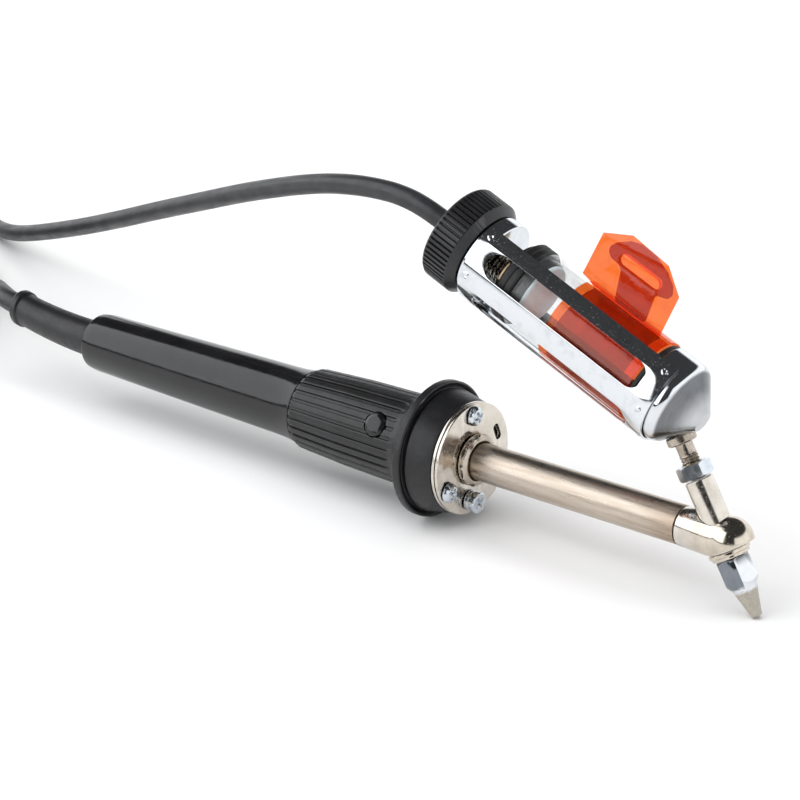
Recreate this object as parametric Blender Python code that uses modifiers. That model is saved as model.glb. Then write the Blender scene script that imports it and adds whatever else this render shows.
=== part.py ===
"""Electric desoldering iron: handle, heater, nozzle, glass solder collector, hose and cable.

Metres, +Z up. The tool lies on a flat surface on its splash guard and its nozzle tip.
+X runs along the handle towards the nozzle, and -Y is the finger button's side.
"""

import math

import bmesh
import bpy
from mathutils import Matrix, Vector

MM = 0.001
GAP = 0.3

# Driving dimensions, in millimetres and degrees.
GUARD_RADIUS = 18.6
AXIS_HEIGHT = GUARD_RADIUS
BUTTON_X = 17.4
BUTTON_ELEVATION = 32.5
BUTTON_TRAVEL = 1.0

HEAD_X = 120.4
HEAD_REACH = 1.9
HEAD_RADIUS = 6.0
SUCTION_ANGLE = 59.4
NOZZLE_FLATS = 8.4
NUT_FLATS = 8.0
NOZZLE_TURN = 9.0
NUT_TURN = 26.0
TIP_RADIUS = 1.4

KNOB_X = 36.4
KNOB_Z = 80.1
COLLECTOR_ANGLE = 23.2
CAGE_RADIUS = 12.3
CAGE_WALL = 0.6
CAGE_EDGE_NEAR = 24.0
CAGE_EDGE_FAR = 224.0
CAGE_SLOT_ANGLES = (60.7, 124.0, 187.3)
GLASS_RADIUS = 10.8
GRIP_EAR_ANGLE = -8.0

CABLE_RADIUS = 3.2
CABLE_COIL_CENTRE = (-262.6, 33.0)
CABLE_COIL_RADIUS = 35.0
HOSE_RADIUS = 2.75
HOSE_COIL_CENTRE = (-332.6, 84.0)
HOSE_COIL_RADIUS = 30.0
COIL_LIFT = 0.8

BOOT_START = -114.4
BOOT_END = -149.5
BOOT_RISE = 1.9
BOOT_DRIFT = 2.2

FINISHES = {
    "black_gloss": ((0.012, 0.012, 0.013), 0.22, 0.0),
    "black_satin": ((0.018, 0.018, 0.019), 0.45, 0.0),
    "black_rubber": ((0.02, 0.02, 0.021), 0.7, 0.0),
    "cord_rubber": ((0.03, 0.032, 0.035), 0.6, 0.0),
    "nickel": ((0.72, 0.68, 0.6), 0.25, 1.0),
    "warm_steel": ((0.5, 0.44, 0.37), 0.35, 1.0),
    "chrome": ((0.85, 0.86, 0.88), 0.08, 1.0),
    "zinc": ((0.6, 0.6, 0.58), 0.4, 1.0),
    "spring_steel": ((0.55, 0.55, 0.53), 0.3, 1.0),
    "glass": ((0.9, 0.93, 0.93), 0.03, 0.0),
    "orange_film": ((1.0, 0.25, 0.03), 0.15, 0.0),
    "filter_white": ((0.85, 0.83, 0.78), 0.9, 0.0),
    "ceramic": ((0.85, 0.82, 0.74), 0.6, 0.0),
    "board_green": ((0.05, 0.2, 0.08), 0.5, 0.0),
    "wire_red": ((0.5, 0.03, 0.02), 0.5, 0.0),
    "wire_white": ((0.8, 0.8, 0.78), 0.5, 0.0),
}


# ---------------------------------------------------------------- helpers

def new_collection(name):
    collection = bpy.data.collections.new(name)
    bpy.context.scene.collection.children.link(collection)
    return collection


def finish_material(finish):
    material = bpy.data.materials.get(finish)
    if material is None:
        colour, roughness, metallic = FINISHES[finish]
        material = bpy.data.materials.new(finish)
        material.use_nodes = True
        shader = material.node_tree.nodes["Principled BSDF"]
        shader.inputs["Base Color"].default_value = (*colour, 1.0)
        shader.inputs["Roughness"].default_value = roughness
        shader.inputs["Metallic"].default_value = metallic
    return material


def axes_matrix(origin, x_axis, z_axis):
    """A placement whose local X and Z point along the given directions."""
    z = Vector(z_axis).normalized()
    x = Vector(x_axis).normalized()
    y = z.cross(x)
    matrix = Matrix((x, y, z)).transposed().to_4x4()
    matrix.translation = Vector(origin) * MM
    return matrix


def axis_empty(name, origin, x_axis, z_axis):
    empty = bpy.data.objects.new(name, None)
    empty.empty_display_size = 10 * MM
    empty.matrix_world = axes_matrix(origin, x_axis, z_axis)
    PARTS.objects.link(empty)
    return empty


def add_object(name, data, finish, axis, placement=None):
    """Adds a part, or a cutter when it has no finish, under an axis empty."""
    item = bpy.data.objects.new(name, data)
    if axis is not None:
        item.parent = axis
    if placement is not None:
        item.matrix_basis = placement
    if finish is None:
        CUTTERS.objects.link(item)
        item.hide_render = True
        item.display_type = "WIRE"
    else:
        PARTS.objects.link(item)
        data.materials.append(finish_material(finish))
    return item


def turned(name, outline, finish, axis, steps=28, loop=False, placement=None):
    """Turns an outline of (radius, height) points about local Z.

    The outline runs down its outer side. A loop closes on itself, for a piece with a bore.
    """
    mesh = bpy.data.meshes.new(name)
    points = [(radius * MM, 0.0, height * MM) for radius, height in outline]
    edges = [(i, i + 1) for i in range(len(points) - 1)]
    if loop:
        edges.append((len(points) - 1, 0))
    mesh.from_pydata(points, edges, [])
    item = add_object(name, mesh, finish, axis, placement)
    screw = item.modifiers.new("turn", "SCREW")
    screw.steps = steps
    screw.render_steps = steps
    screw.use_merge_vertices = True
    screw.merge_threshold = 0.00001
    screw.use_smooth_shade = True
    return item


def arc(centre, radius, start, end, count):
    """Points on an arc, angles in degrees from the first axis to the second."""
    points = []
    for i in range(count + 1):
        angle = math.radians(start + (end - start) * i / count)
        points.append((centre[0] + radius * math.cos(angle), centre[1] + radius * math.sin(angle)))
    return points


def circle(centre, radius, count=24):
    return arc(centre, radius, 0.0, 360.0, count)[:-1]


def stadium(length, half_width, count=8):
    """A slot outline along local X, centred on the origin."""
    reach = length / 2 - half_width
    return arc((reach, 0), half_width, -90, 90, count) + arc((-reach, 0), half_width, 90, 270, count)


def plate(name, outlines, low, high, finish, axis, placement=None):
    """A flat piece from closed outlines in local XY, filled and extruded from low to high."""
    curve = bpy.data.curves.new(name, "CURVE")
    curve.dimensions = "2D"
    curve.fill_mode = "BOTH"
    curve.extrude = (high - low) / 2 * MM
    for outline in outlines:
        spline = curve.splines.new("POLY")
        spline.points.add(len(outline) - 1)
        for point, (x, y) in zip(spline.points, outline):
            point.co = (x * MM, y * MM, 0.0, 1.0)
        spline.use_cyclic_u = True
    lift = Matrix.Translation((0.0, 0.0, (low + high) / 2 * MM))
    base = placement if placement is not None else Matrix.Identity(4)
    return add_object(name, curve, finish, axis, base @ lift)


def tube(name, points, radius, finish, axis=None, resolution=2):
    """A round wire or hose through the given points."""
    curve = bpy.data.curves.new(name, "CURVE")
    curve.dimensions = "3D"
    curve.bevel_depth = radius * MM
    curve.bevel_resolution = resolution
    curve.use_fill_caps = True
    spline = curve.splines.new("POLY")
    spline.points.add(len(points) - 1)
    for point, place in zip(spline.points, points):
        point.co = (*(Vector(place) * MM), 1.0)
    return add_object(name, curve, finish, axis)


def as_mesh(item):
    """Replaces a curve, or a part with modifiers, by the mesh it makes."""
    bpy.context.view_layer.update()
    evaluated = item.evaluated_get(bpy.context.evaluated_depsgraph_get())
    mesh = bpy.data.meshes.new_from_object(evaluated)
    work = bmesh.new()
    work.from_mesh(mesh)
    bmesh.ops.remove_doubles(work, verts=work.verts, dist=0.00001)
    bmesh.ops.recalc_face_normals(work, faces=work.faces)
    work.to_mesh(mesh)
    work.free()
    name = item.name
    collection = item.users_collection[0]
    result = bpy.data.objects.new(name + "_mesh", mesh)
    collection.objects.link(result)
    result.parent = item.parent
    result.matrix_basis = item.matrix_basis
    result.hide_render = item.hide_render
    result.display_type = item.display_type
    bpy.data.objects.remove(item)
    result.name = name
    return result


def combine(item, other, operation):
    modifier = item.modifiers.new(operation.lower() + "_" + other.name, "BOOLEAN")
    modifier.operation = operation
    modifier.solver = "EXACT"
    modifier.object = other


def rod_cutter(name, radius, low, high, axis, placement=None, sides=24):
    outline = [(0, high), (radius, high), (radius, low), (0, low)]
    return turned(name, outline, None, axis, steps=sides, placement=placement)


def hex_prism(name, flats, turn, low, high, axis):
    """A hexagonal cutter, turned by an angle about its axis."""
    corner = flats / 2 / math.cos(math.radians(30))
    corners = [tuple(polar(corner, turn + 60.0 * i)[:2]) for i in range(6)]
    return as_mesh(plate(name, [corners], low, high, None, axis))


def block(name, size, centre, finish, axis):
    mesh = bpy.data.meshes.new(name)
    work = bmesh.new()
    scale = Matrix.Diagonal((size[0] * MM, size[1] * MM, size[2] * MM, 1.0))
    bmesh.ops.create_cube(work, size=1.0, matrix=Matrix.Translation(Vector(centre) * MM) @ scale)
    work.to_mesh(mesh)
    work.free()
    return add_object(name, mesh, finish, axis)


def polar(radius, angle, height=0.0):
    """A point in an axis frame: the angle runs from local X towards local Y."""
    turn = math.radians(angle)
    return Vector((radius * math.cos(turn), radius * math.sin(turn), height))


def smooth_route(points, spacing):
    """A smooth curve through the route's points, read at even steps along its length."""
    route = [Vector(point) for point in points]
    route = [2 * route[0] - route[1]] + route + [2 * route[-1] - route[-2]]
    fine = []
    for a, b, c, d in zip(route, route[1:], route[2:], route[3:]):
        for i in range(16):
            t = i / 16
            fine.append(0.5 * (2 * b + (c - a) * t + (2 * a - 5 * b + 4 * c - d) * t ** 2
                               + (3 * b - a - 3 * c + d) * t ** 3))
    fine.append(route[-2])
    total = sum((q - p).length for p, q in zip(fine, fine[1:]))
    count = max(2, round(total / spacing))
    result = [fine[0]]
    walked = 0.0
    for p, q in zip(fine, fine[1:]):
        step = (q - p).length
        while len(result) < count and walked + step >= total * len(result) / count:
            share = (total * len(result) / count - walked) / step
            result.append(p.lerp(q, share))
        walked += step
    result.append(fine[-1])
    return result


# ---------------------------------------------------------------- handle

def handle_parts():
    shell = turned("handle_shell", [
        (13.0, 22.6), (13.0, 17.5), (10.4, 17.5), (10.4, -31.0), (10.8, -31.4), (10.8, -32.0),
        (9.5, -35.5), (9.5, -38.0), (9.7, -43.0), (9.1, -78.0), (8.5, -110.5), (8.2, -113.2),
        (7.4, -114.1), (5.6, -114.1), (5.6, -111.5), (6.9, -111.5), (7.9, -45.0), (8.8, -22.0),
        (8.8, 12.0), (7.2, 16.0), (7.2, 22.6)], "black_gloss", TOOL, loop=True)
    sleeve = turned("grip_sleeve", [
        (12.6, 12.3), (12.9, 11.6), (12.9, 7.8), (12.6, 6.0), (12.2, -14.0), (11.4, -29.6),
        (10.9, -30.7), (10.7, -30.7), (10.7, 12.3)], "black_satin", TOOL, steps=28, loop=True)
    window = rod_cutter("button_window", 4.1, 5.0, 16.0, BUTTON, sides=24)
    combine(shell, window, "DIFFERENCE")
    combine(sleeve, window, "DIFFERENCE")
    for hole in SCREW_HOLES:
        combine(shell, hole, "DIFFERENCE")
    turned("switch_button", [
        (0, 13.5), (2.4, 13.4), (3.2, 13.1), (3.5, 12.6), (3.5, 7.0), (4.4, 7.0), (4.4, 6.2),
        (0, 6.2)], "black_gloss", BUTTON, steps=24)
    block("switch_body", (12.0, 6.4, 4.4), (0, 0, 6.2 - BUTTON_TRAVEL - GAP - 2.2), "black_satin",
          BUTTON)
    turned("splash_guard", [
        (14.5, 22.5), (14.5, 18.8), (15.2, 17.0), (18.2, 16.0), (GUARD_RADIUS, 15.5),
        (GUARD_RADIUS, 14.4), (18.2, 13.8), (10.8, 12.7), (10.8, 17.2), (13.3, 17.2),
        (13.3, 22.5)], "black_rubber", TOOL, steps=32, loop=True)


def inner_parts():
    turned("cable_clamp", [(6.6, -102.5), (6.6, -108.6), (3.5, -108.6), (3.5, -102.5)], "nickel",
           TOOL, steps=32, loop=True)
    block("terminal_board", (1.6, 9.0, 34.0), (0, 0, -61.0), "board_green", TOOL)
    for number, side in enumerate((-1, 1), start=1):
        lead = [(0, side * 1.2, -97.7), (0, side * 1.5, -92.0), (0, side * 2.6, -84.0),
                (0, side * 3.0, -78.3)]
        tube(f"lead_wire_{number}", lead, 0.6, "wire_red", TOOL)
        element_lead = [(0, side * 3.0, -43.7), (-2.0, side * 2.6, -32.0), (-4.5, side * 1.6, -16.0),
                        (-4.5, side * 1.4, 6.0), (-2.0, side * 1.2, 26.0), (-1.0, side * 1.2, 44.6)]
        tube(f"element_lead_{number}", element_lead, 0.45, "wire_white", TOOL)
    turned("heating_element", [(0, 96.4), (3.2, 96.4), (3.2, 45.0), (0, 45.0)], "ceramic", TOOL,
           steps=24)
    rod = [(0, 0.5, 0), (0.5, 0, 0)]
    offset = Matrix.Translation(polar(3.87, 180.0) * MM)
    turned("sensor_rod", [(0, 90.5), (rod[1][0], 90.5), (rod[1][0], 41.0), (0, 41.0)], "nickel",
           TOOL, steps=12, placement=offset)


def boot_shift(station):
    """How far the strain relief has bent away from the tool's axis, as local X and Y."""
    share = max(0.0, (BOOT_START - station) / (BOOT_START - BOOT_END))
    return BOOT_RISE * share ** 2, -BOOT_DRIFT * share ** 2


def boot_parts():
    ribs = [-121.0 - 7.0 * i for i in range(4)]
    outline = [(6.5, -109.0), (6.5, -111.1), (5.3, -111.1), (5.3, BOOT_START), (5.45, -114.8)]
    for station in ribs:
        share = (BOOT_START - station) / (BOOT_START - BOOT_END)
        outline.append((5.4 - 0.5 * share, station))
    outline += [(4.85, -146.4), (5.4, -146.9), (5.4, -148.6), (5.0, BOOT_END), (3.5, BOOT_END)]
    outline += [(3.5, -138.0), (3.5, -126.0), (3.5, -114.0), (3.5, -109.0)]
    boot = as_mesh(turned("cable_boot", outline, "black_rubber", TOOL, steps=20, loop=True))
    for vertex in boot.data.vertices:
        rise, drift = boot_shift(vertex.co.z / MM)
        vertex.co.x += rise * MM
        vertex.co.y += drift * MM
    stations = [-98.0, -112.0] + [-116.0 - 3.6 * i for i in range(9)] + [BOOT_END + 0.4]
    points = [(*boot_shift(station), station) for station in stations]
    tube("cable_inner_end", points, CABLE_RADIUS, "cord_rubber", TOOL, resolution=3)


def flange_outlines(radius, tabbed):
    """A round plate with the tube's hole, the screw holes, the earth hole and a wiring slot."""
    if tabbed:
        rim = arc((0, 0), radius, -130.0, 190.0, 28) + [tuple(polar(15.9, 193.0)[:2]),
                                                        tuple(polar(15.6, 218.0)[:2])]
    else:
        rim = circle((0, 0), radius, 32)
    outlines = [rim, circle((0, 0), 5.4, 24)]
    outlines += [circle(polar(11.9, angle)[:2], 1.55, 10) for angle in SCREW_ANGLES]
    slot = arc((0, 0), 12.4, -80.0, -54.0, 6) + arc((0, 0), 10.0, -54.0, -80.0, 6)
    outlines.append(slot)
    return outlines


def flange_parts():
    plate("flange_plate_rear", flange_outlines(14.6, False), 22.9, 23.7, "nickel", TOOL)
    plate("flange_plate_front", flange_outlines(14.5, True), 24.0, 24.8, "nickel", TOOL)
    for number, angle in enumerate(SCREW_ANGLES[:3], start=1):
        seat = Matrix.Translation(polar(11.9, angle) * MM)
        turned(f"flange_screw_{number}", [
            (0, 26.8), (1.5, 26.7), (2.1, 26.2), (2.25, 25.5), (2.25, 25.1), (1.2, 25.1),
            (1.2, 18.5), (0, 18.5)], "zinc", TOOL, steps=14, placement=seat)
    seat = Matrix.Translation(polar(11.9, SCREW_ANGLES[3]) * MM)
    turned("earth_screw", [
        (0, 29.2), (1.8, 29.2), (2.15, 28.8), (2.15, 25.1), (1.2, 25.1), (1.2, 18.5), (0, 18.5)],
        "zinc", TOOL, steps=14, placement=seat)
    turned("tube_collar", [
        (6.3, 27.6), (6.9, 27.1), (6.9, 25.1), (5.4, 25.1), (5.4, 27.6)], "nickel", TOOL,
        steps=32, loop=True)


# ---------------------------------------------------------------- heater and suction line

def heater_parts():
    turned("heater_tube", [(5.1, 91.1), (5.1, 19.0), (4.55, 19.0), (4.55, 91.1)], "warm_steel",
           TOOL, steps=32, loop=True)
    centre = HEAD_X - BUTTON_X
    ball = [(r, h) for h, r in arc((centre + HEAD_REACH, 0), HEAD_RADIUS, 0.0, 111.0, 10)]
    ball[0] = (0, centre + HEAD_REACH + HEAD_RADIUS)
    head = turned("heater_head", ball + [(5.2, 91.4), (3.6, 91.4), (3.6, 96.8), (0, 96.8)],
                  "nickel", TOOL, steps=28)
    combine(head, rod_cutter("head_bore", 3.8, -12.0, 12.0, SUCTION), "DIFFERENCE")
    combine(head, rod_cutter("head_flat", 9.0, -14.0, -2.7, SUCTION), "DIFFERENCE")


def suction_parts():
    tip = -(AXIS_HEIGHT - TIP_RADIUS * math.cos(math.radians(SUCTION_ANGLE))) / math.sin(
        math.radians(SUCTION_ANGLE))
    turned("suction_tube", [(3.3, 15.9), (3.5, 15.6), (3.5, -2.7), (1.9, -2.7), (1.9, 15.9)],
           "nickel", SUCTION, steps=24, loop=True)
    turned("nozzle_seat", [
        (5.2, -3.0), (5.4, -3.2), (5.4, -3.9), (4.9, -4.1), (4.9, -4.8), (2.0, -4.8), (2.0, -3.0)],
        "nickel", SUCTION, steps=28, loop=True)
    nozzle = turned("nozzle", [
        (4.2, -5.1), (4.8, -5.6), (4.8, -11.2), (4.0, -12.1), (3.4, -12.9), (2.6, -15.6),
        (TIP_RADIUS, tip), (0.75, tip), (0.75, -17.5), (1.8, -12.0), (1.8, -5.1)],
        "warm_steel", SUCTION, steps=24, loop=True)
    flats = hex_prism("nozzle_flats", NOZZLE_FLATS, NOZZLE_TURN, -26.0, -4.0, SUCTION)
    combine(nozzle, flats, "INTERSECT")
    nut = turned("jam_nut", [
        (4.0, 20.0), (4.6, 19.6), (4.6, 16.7), (4.0, 16.3), (2.8, 16.3), (2.8, 20.0)], "zinc",
        SUCTION, steps=24, loop=True)
    combine(nut, hex_prism("nut_flats", NUT_FLATS, NUT_TURN, 15.0, 22.0, SUCTION), "INTERSECT")
    turned("cap_nipple", [
        (2.2, 31.6), (2.5, 31.3), (2.5, 27.8), (3.5, 27.8), (3.85, 27.4), (3.85, 25.8), (3.4, 25.4),
        (2.25, 25.4), (2.25, 23.5), (2.5, 23.2), (2.5, 16.4), (2.3, 16.2), (1.2, 16.2),
        (1.2, 31.6)], "nickel", SUCTION, steps=18, loop=True)


# ---------------------------------------------------------------- solder collector

def cap_parts():
    cap = turned("front_cap", [
        (0, 83.2), (2.6, 83.2), (3.0, 83.0), (10.5, 75.7), (11.1, 75.0), (11.35, 74.2),
        (11.35, 67.8), (9.6, 67.8), (9.6, 74.0), (2.0, 81.2), (0, 81.2)], "chrome", COLLECTOR)
    combine(cap, rod_cutter("nipple_bore", 2.8, 24.0, 36.0, SUCTION, sides=20), "DIFFERENCE")
    combine(cap, rod_cutter("nipple_seat", 4.2, 22.0, 28.1, SUCTION, sides=20), "DIFFERENCE")
    turned("front_seal", [(11.0, 67.5), (11.0, 66.3), (6.5, 66.3), (6.5, 67.5)], "black_rubber",
           COLLECTOR, steps=32, loop=True)


def cage_parts():
    inner = CAGE_RADIUS - CAGE_WALL
    cage = turned("collector_cage", [
        (CAGE_RADIUS, 73.7), (CAGE_RADIUS, 11.8), (inner, 11.8), (inner, 73.7)], "chrome",
        COLLECTOR, steps=48, loop=True)
    opening = [(0, 0)] + arc((0, 0), 30.0, CAGE_EDGE_FAR - 360.0, CAGE_EDGE_NEAR, 8)
    combine(cage, as_mesh(plate("cage_opening", [opening], 5.0, 80.0, None, COLLECTOR)), "DIFFERENCE")
    for number, angle in enumerate(CAGE_SLOT_ANGLES, start=1):
        outward = polar(1.0, angle)
        place = axes_matrix((0, 0, 0), (0, 0, 1), outward)
        middle = Matrix.Translation((0, 0, 42.75 * MM))
        slot = plate(f"cage_slot_{number}", [stadium(52.1, 3.6)], 8.0, 16.0, None, COLLECTOR,
                     middle @ place)
        combine(cage, as_mesh(slot), "DIFFERENCE")
    turned("rear_bush", [
        (11.0, 15.0), (11.35, 14.7), (11.35, 10.8), (11.0, 10.5), (3.4, 10.5), (3.4, 15.0)],
        "chrome", COLLECTOR, loop=True)


def closure_parts():
    turned("knurled_knob", [
        (11.6, 10.2), (13.3, 9.2), (13.3, 0.7), (12.8, 0.0), (4.4, 0.0), (3.6, 0.8), (3.6, 6.1),
        (3.3, 6.1), (3.3, 10.2)], "black_satin", COLLECTOR, loop=True)
    turned("plunger", [
        (9.0, 21.6), (9.5, 21.3), (9.5, 20.6), (3.0, 20.6), (3.0, 6.4), (1.2, 6.4), (1.2, 21.6)],
        "nickel", COLLECTOR, steps=32, loop=True)
    turned("rear_seal", [
        (10.7, 26.0), (11.0, 25.7), (11.0, 22.2), (10.7, 21.9), (2.0, 21.9), (2.0, 26.0)],
        "black_rubber", COLLECTOR, steps=32, loop=True)
    turns = 4
    count = 9
    first = 15.0 + GAP + 0.35
    last = 20.6 - GAP - 0.35
    helix = [polar(4.3, 360.0 * i / count, first + (last - first) * i / (turns * count))
             for i in range(turns * count + 1)]
    tube("plunger_spring", helix, 0.35, "spring_steel", COLLECTOR)


def tube_parts():
    turned("glass_tube", [
        (GLASS_RADIUS, 66.0), (GLASS_RADIUS, 26.3), (9.5, 26.3), (9.5, 66.0)], "glass", COLLECTOR,
        loop=True)
    turned("filter_holder", [(9.2, 28.6), (9.2, 26.6), (6.5, 26.6), (6.5, 28.6)], "black_rubber",
           COLLECTOR, steps=24, loop=True)
    turned("filter_pad", [(0, 31.0), (5.8, 31.0), (6.2, 30.6), (6.2, 27.0), (0, 27.0)],
           "filter_white", COLLECTOR, steps=24)


def grip_parts():
    inner = GLASS_RADIUS + 0.2
    outer = inner + 0.4
    ring = turned("heat_shield_grip", [(outer, 65.9), (outer, 39.0), (inner, 39.0), (inner, 65.9)],
                  "orange_film", COLLECTOR, loop=True)
    # Each ear stands on a radial plane: its outline is (height along the tube, distance out).
    ear = [(41.5, 11.1), (62.8, 11.1), (62.5, 23.0), (56.2, 28.1), (44.2, 28.9), (36.8, 24.8),
           (36.8, 12.6), (40.0, 12.1)]
    slot = [(50.0 + x, 21.9 + y) for x, y in stadium(12.8, 1.45)]
    outward = polar(1.0, GRIP_EAR_ANGLE)
    stand = axes_matrix((0, 0, 0), (0, 0, 1), Vector((0, 0, 1)).cross(outward))
    split = plate("grip_split", [[(38, 9), (68, 9), (68, 13), (38, 13)]], -0.4, 0.4, None, COLLECTOR,
                  stand)
    combine(ring, as_mesh(split), "DIFFERENCE")
    near = plate("grip_ear_near", [ear, slot], 0.4, 1.1, None, COLLECTOR, stand)
    far = plate("grip_ear_far", [ear], -1.1, -0.4, None, COLLECTOR, stand)
    combine(ring, as_mesh(near), "UNION")
    combine(ring, as_mesh(far), "UNION")


# ---------------------------------------------------------------- cords

CABLE_LEAD = [
    (-132.6, 2.35, 20.55), (-138.4, 3.25, 21.0), (-144.8, 6.2, 20.6), (-154.8, 13.2, 17.9),
    (-166.5, 22.0, 13.3), (-178.5, 31.0, 8.8), (-190.5, 40.5, 5.2), (-202.5, 49.6, 3.6),
    (-216.5, 58.5, 3.3), (-232.5, 66.6, 3.4), (-247.5, 72.0, 3.7), (-262.6, 74.4, 4.0)]
CABLE_TAIL = [
    (-262.6, -8.4, 10.4), (-250.0, -8.4, 10.1), (-238.0, -8.4, 9.4), (-226.0, -8.4, 9.0),
    (-218.0, -8.4, 9.0)]
HOSE_LEAD = [
    (38.3, 0.0, 79.3), (32.0, 0.0, 82.0), (25.8, 0.0, 84.3), (20.0, 0.4, 85.5), (12.6, 1.2, 85.8),
    (1.8, 2.5, 84.9), (-10.8, 5.0, 82.4), (-25.2, 9.0, 78.2), (-40.2, 13.5, 73.1),
    (-56.2, 18.5, 67.3), (-79.2, 26.0, 58.4), (-104.0, 34.5, 48.7), (-131.0, 44.0, 37.9),
    (-158.0, 54.0, 27.4), (-183.0, 63.6, 18.2), (-205.0, 72.2, 10.6), (-221.0, 78.7, 6.1),
    (-236.0, 85.4, 3.7), (-252.6, 93.2, 2.9), (-272.6, 103.0, 2.9), (-294.6, 112.4, 3.0),
    (-314.6, 118.0, 3.3), (-332.6, 119.5, 3.55)]
HOSE_TAIL = [(-368.1, 84.0, 9.05), (-368.1, 74.0, 8.4), (-368.1, 64.0, 6.2), (-368.1, 55.0, 5.0),
             (-368.1, 50.0, 5.0)]


def coil_ring(name, centre, middle, cord_radius, finish):
    """The outer shape of a coil three cords wide and two high."""
    low = COIL_LIFT
    high = COIL_LIFT + 4 * cord_radius + 0.1
    half = 3 * cord_radius + 0.1
    axis = axis_empty(name + "_axis", (*centre, 0), (1, 0, 0), (0, 0, 1))
    bevel = 0.5 * cord_radius
    outer, inner = middle + half, middle - half
    turned(name, [
        (outer - bevel, high), (outer, high - bevel), (outer, low + bevel), (outer - bevel, low),
        (inner + bevel, low), (inner, low + bevel), (inner, high - bevel), (inner + bevel, high)],
        finish, axis, loop=True)
    return axis, outer, half, high


def coil_tie(name, axis, middle, half, high, angle):
    """A flat strap round the coil's bundle, 6 mm wide, in the plane that cuts it across."""
    place = axes_matrix(polar(middle, angle, 0), polar(1.0, angle), polar(1.0, angle - 90.0))
    inner = half + 0.4
    rim = inner + 0.5
    low = COIL_LIFT - 0.3
    top = high + 0.3
    outline = [(rim, low - 0.4), (rim, top + 0.5), (-rim, top + 0.5), (-rim, low - 0.4)]
    opening = [(inner, low), (inner, top), (-inner, top), (-inner, low)]
    plate(name, [outline, opening], -3.0, 3.0, "black_satin", axis, place)


def cord_stretch(name, points, radius, finish, coil_axis, coil_outer):
    """A cord's uncoiled stretch, cut back where it would enter the coil."""
    item = as_mesh(tube(name, smooth_route(points, 5.0 * radius), radius, finish))
    cutter = rod_cutter(name + "_end", coil_outer + GAP, -5.0, 30.0, coil_axis, sides=64)
    combine(item, cutter, "DIFFERENCE")


def cord_parts():
    axis, outer, half, high = coil_ring("cable_coil", CABLE_COIL_CENTRE, CABLE_COIL_RADIUS,
                                        CABLE_RADIUS, "cord_rubber")
    coil_tie("cable_tie", axis, CABLE_COIL_RADIUS, half, high, 200.0)
    cord_stretch("power_cable", CABLE_LEAD, CABLE_RADIUS, "cord_rubber", axis, outer)
    cord_stretch("cable_tail", CABLE_TAIL, CABLE_RADIUS, "cord_rubber", axis, outer)
    axis, outer, half, high = coil_ring("hose_coil", HOSE_COIL_CENTRE, HOSE_COIL_RADIUS,
                                        HOSE_RADIUS, "cord_rubber")
    coil_tie("hose_tie", axis, HOSE_COIL_RADIUS, half, high, 250.0)
    cord_stretch("vacuum_hose", HOSE_LEAD, HOSE_RADIUS, "cord_rubber", axis, outer)
    cord_stretch("hose_tail", HOSE_TAIL, HOSE_RADIUS, "cord_rubber", axis, outer)


def plug_parts():
    end = Vector(CABLE_TAIL[-1]) + Vector((GAP, 0, 0))
    axis = axis_empty("plug_axis", end, (0, 0, 1), (1, 0, 0))
    turned("plug_body", [
        (0, 34.0), (6.5, 34.0), (6.5, 25.8), (8.2, 25.8), (8.4, 25.0), (8.4, 10.0), (6.4, 4.0),
        (4.6, 0.0), (0, 0.0)], "black_satin", axis, steps=28)
    turned("plug_ring", [
        (8.7, 41.0), (9.0, 40.6), (9.0, 26.5), (8.7, 26.1), (6.9, 26.1), (6.9, 41.0)], "nickel",
        axis, loop=True)
    insert = turned("plug_insert", [(0, 35.8), (6.4, 35.8), (6.4, 34.3), (0, 34.3)], "black_satin",
                    axis, steps=24)
    for number in range(5):
        seat = Matrix.Translation(polar(4.2, 72.0 * number) * MM)
        pin = turned(f"pin_{number + 1}", [(0, 40.2), (0.35, 40.2), (0.55, 39.8), (0.55, 35.0),
                                           (0, 35.0)], None, axis, steps=8, placement=seat)
        combine(insert, pin, "UNION")


def fitting_parts():
    end = Vector(HOSE_TAIL[-1]) + Vector((0, -GAP, 0))
    axis = axis_empty("fitting_axis", end, (0, 0, 1), (0, -1, 0))
    turned("hose_fitting", [
        (2.4, 22.0), (3.0, 21.2), (3.0, 13.0), (4.9, 13.0), (5.0, 12.6), (5.0, 4.0), (4.2, 2.6),
        (3.8, 0.0), (1.6, 0.0), (1.6, 22.0)], "nickel", axis, steps=20, loop=True)
    turned("fitting_o_ring", [
        (3.9, 18.3), (4.1, 17.9), (4.1, 17.2), (3.9, 16.8), (3.3, 16.8), (3.3, 18.3)],
        "black_rubber", axis, steps=20, loop=True)


# ---------------------------------------------------------------- model

for old in list(bpy.data.objects):
    bpy.data.objects.remove(old)

PARTS = new_collection("desoldering_iron")
CUTTERS = new_collection("cutters")

fall = math.radians(COLLECTOR_ANGLE)
dive = math.radians(SUCTION_ANGLE)
lean = math.radians(BUTTON_ELEVATION)
TOOL = axis_empty("tool_axis", (BUTTON_X, 0, AXIS_HEIGHT), (0, 0, 1), (1, 0, 0))
BUTTON = axis_empty("button_axis", (BUTTON_X, 0, AXIS_HEIGHT), (1, 0, 0),
                    (0, -math.cos(lean), math.sin(lean)))
COLLECTOR = axis_empty("collector_axis", (KNOB_X, 0, KNOB_Z), (math.sin(fall), 0, math.cos(fall)),
                       (math.cos(fall), 0, -math.sin(fall)))
SUCTION = axis_empty("suction_axis", (HEAD_X, 0, AXIS_HEIGHT), (math.sin(dive), 0, math.cos(dive)),
                     (-math.cos(dive), 0, math.sin(dive)))

SCREW_ANGLES = (0.0, 120.0, 240.0, 180.0)
SCREW_HOLES = [rod_cutter(f"screw_hole_{i + 1}", 1.5, 16.0, 24.0, TOOL, sides=10,
                          placement=Matrix.Translation(polar(11.9, angle) * MM))
               for i, angle in enumerate(SCREW_ANGLES)]

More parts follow.
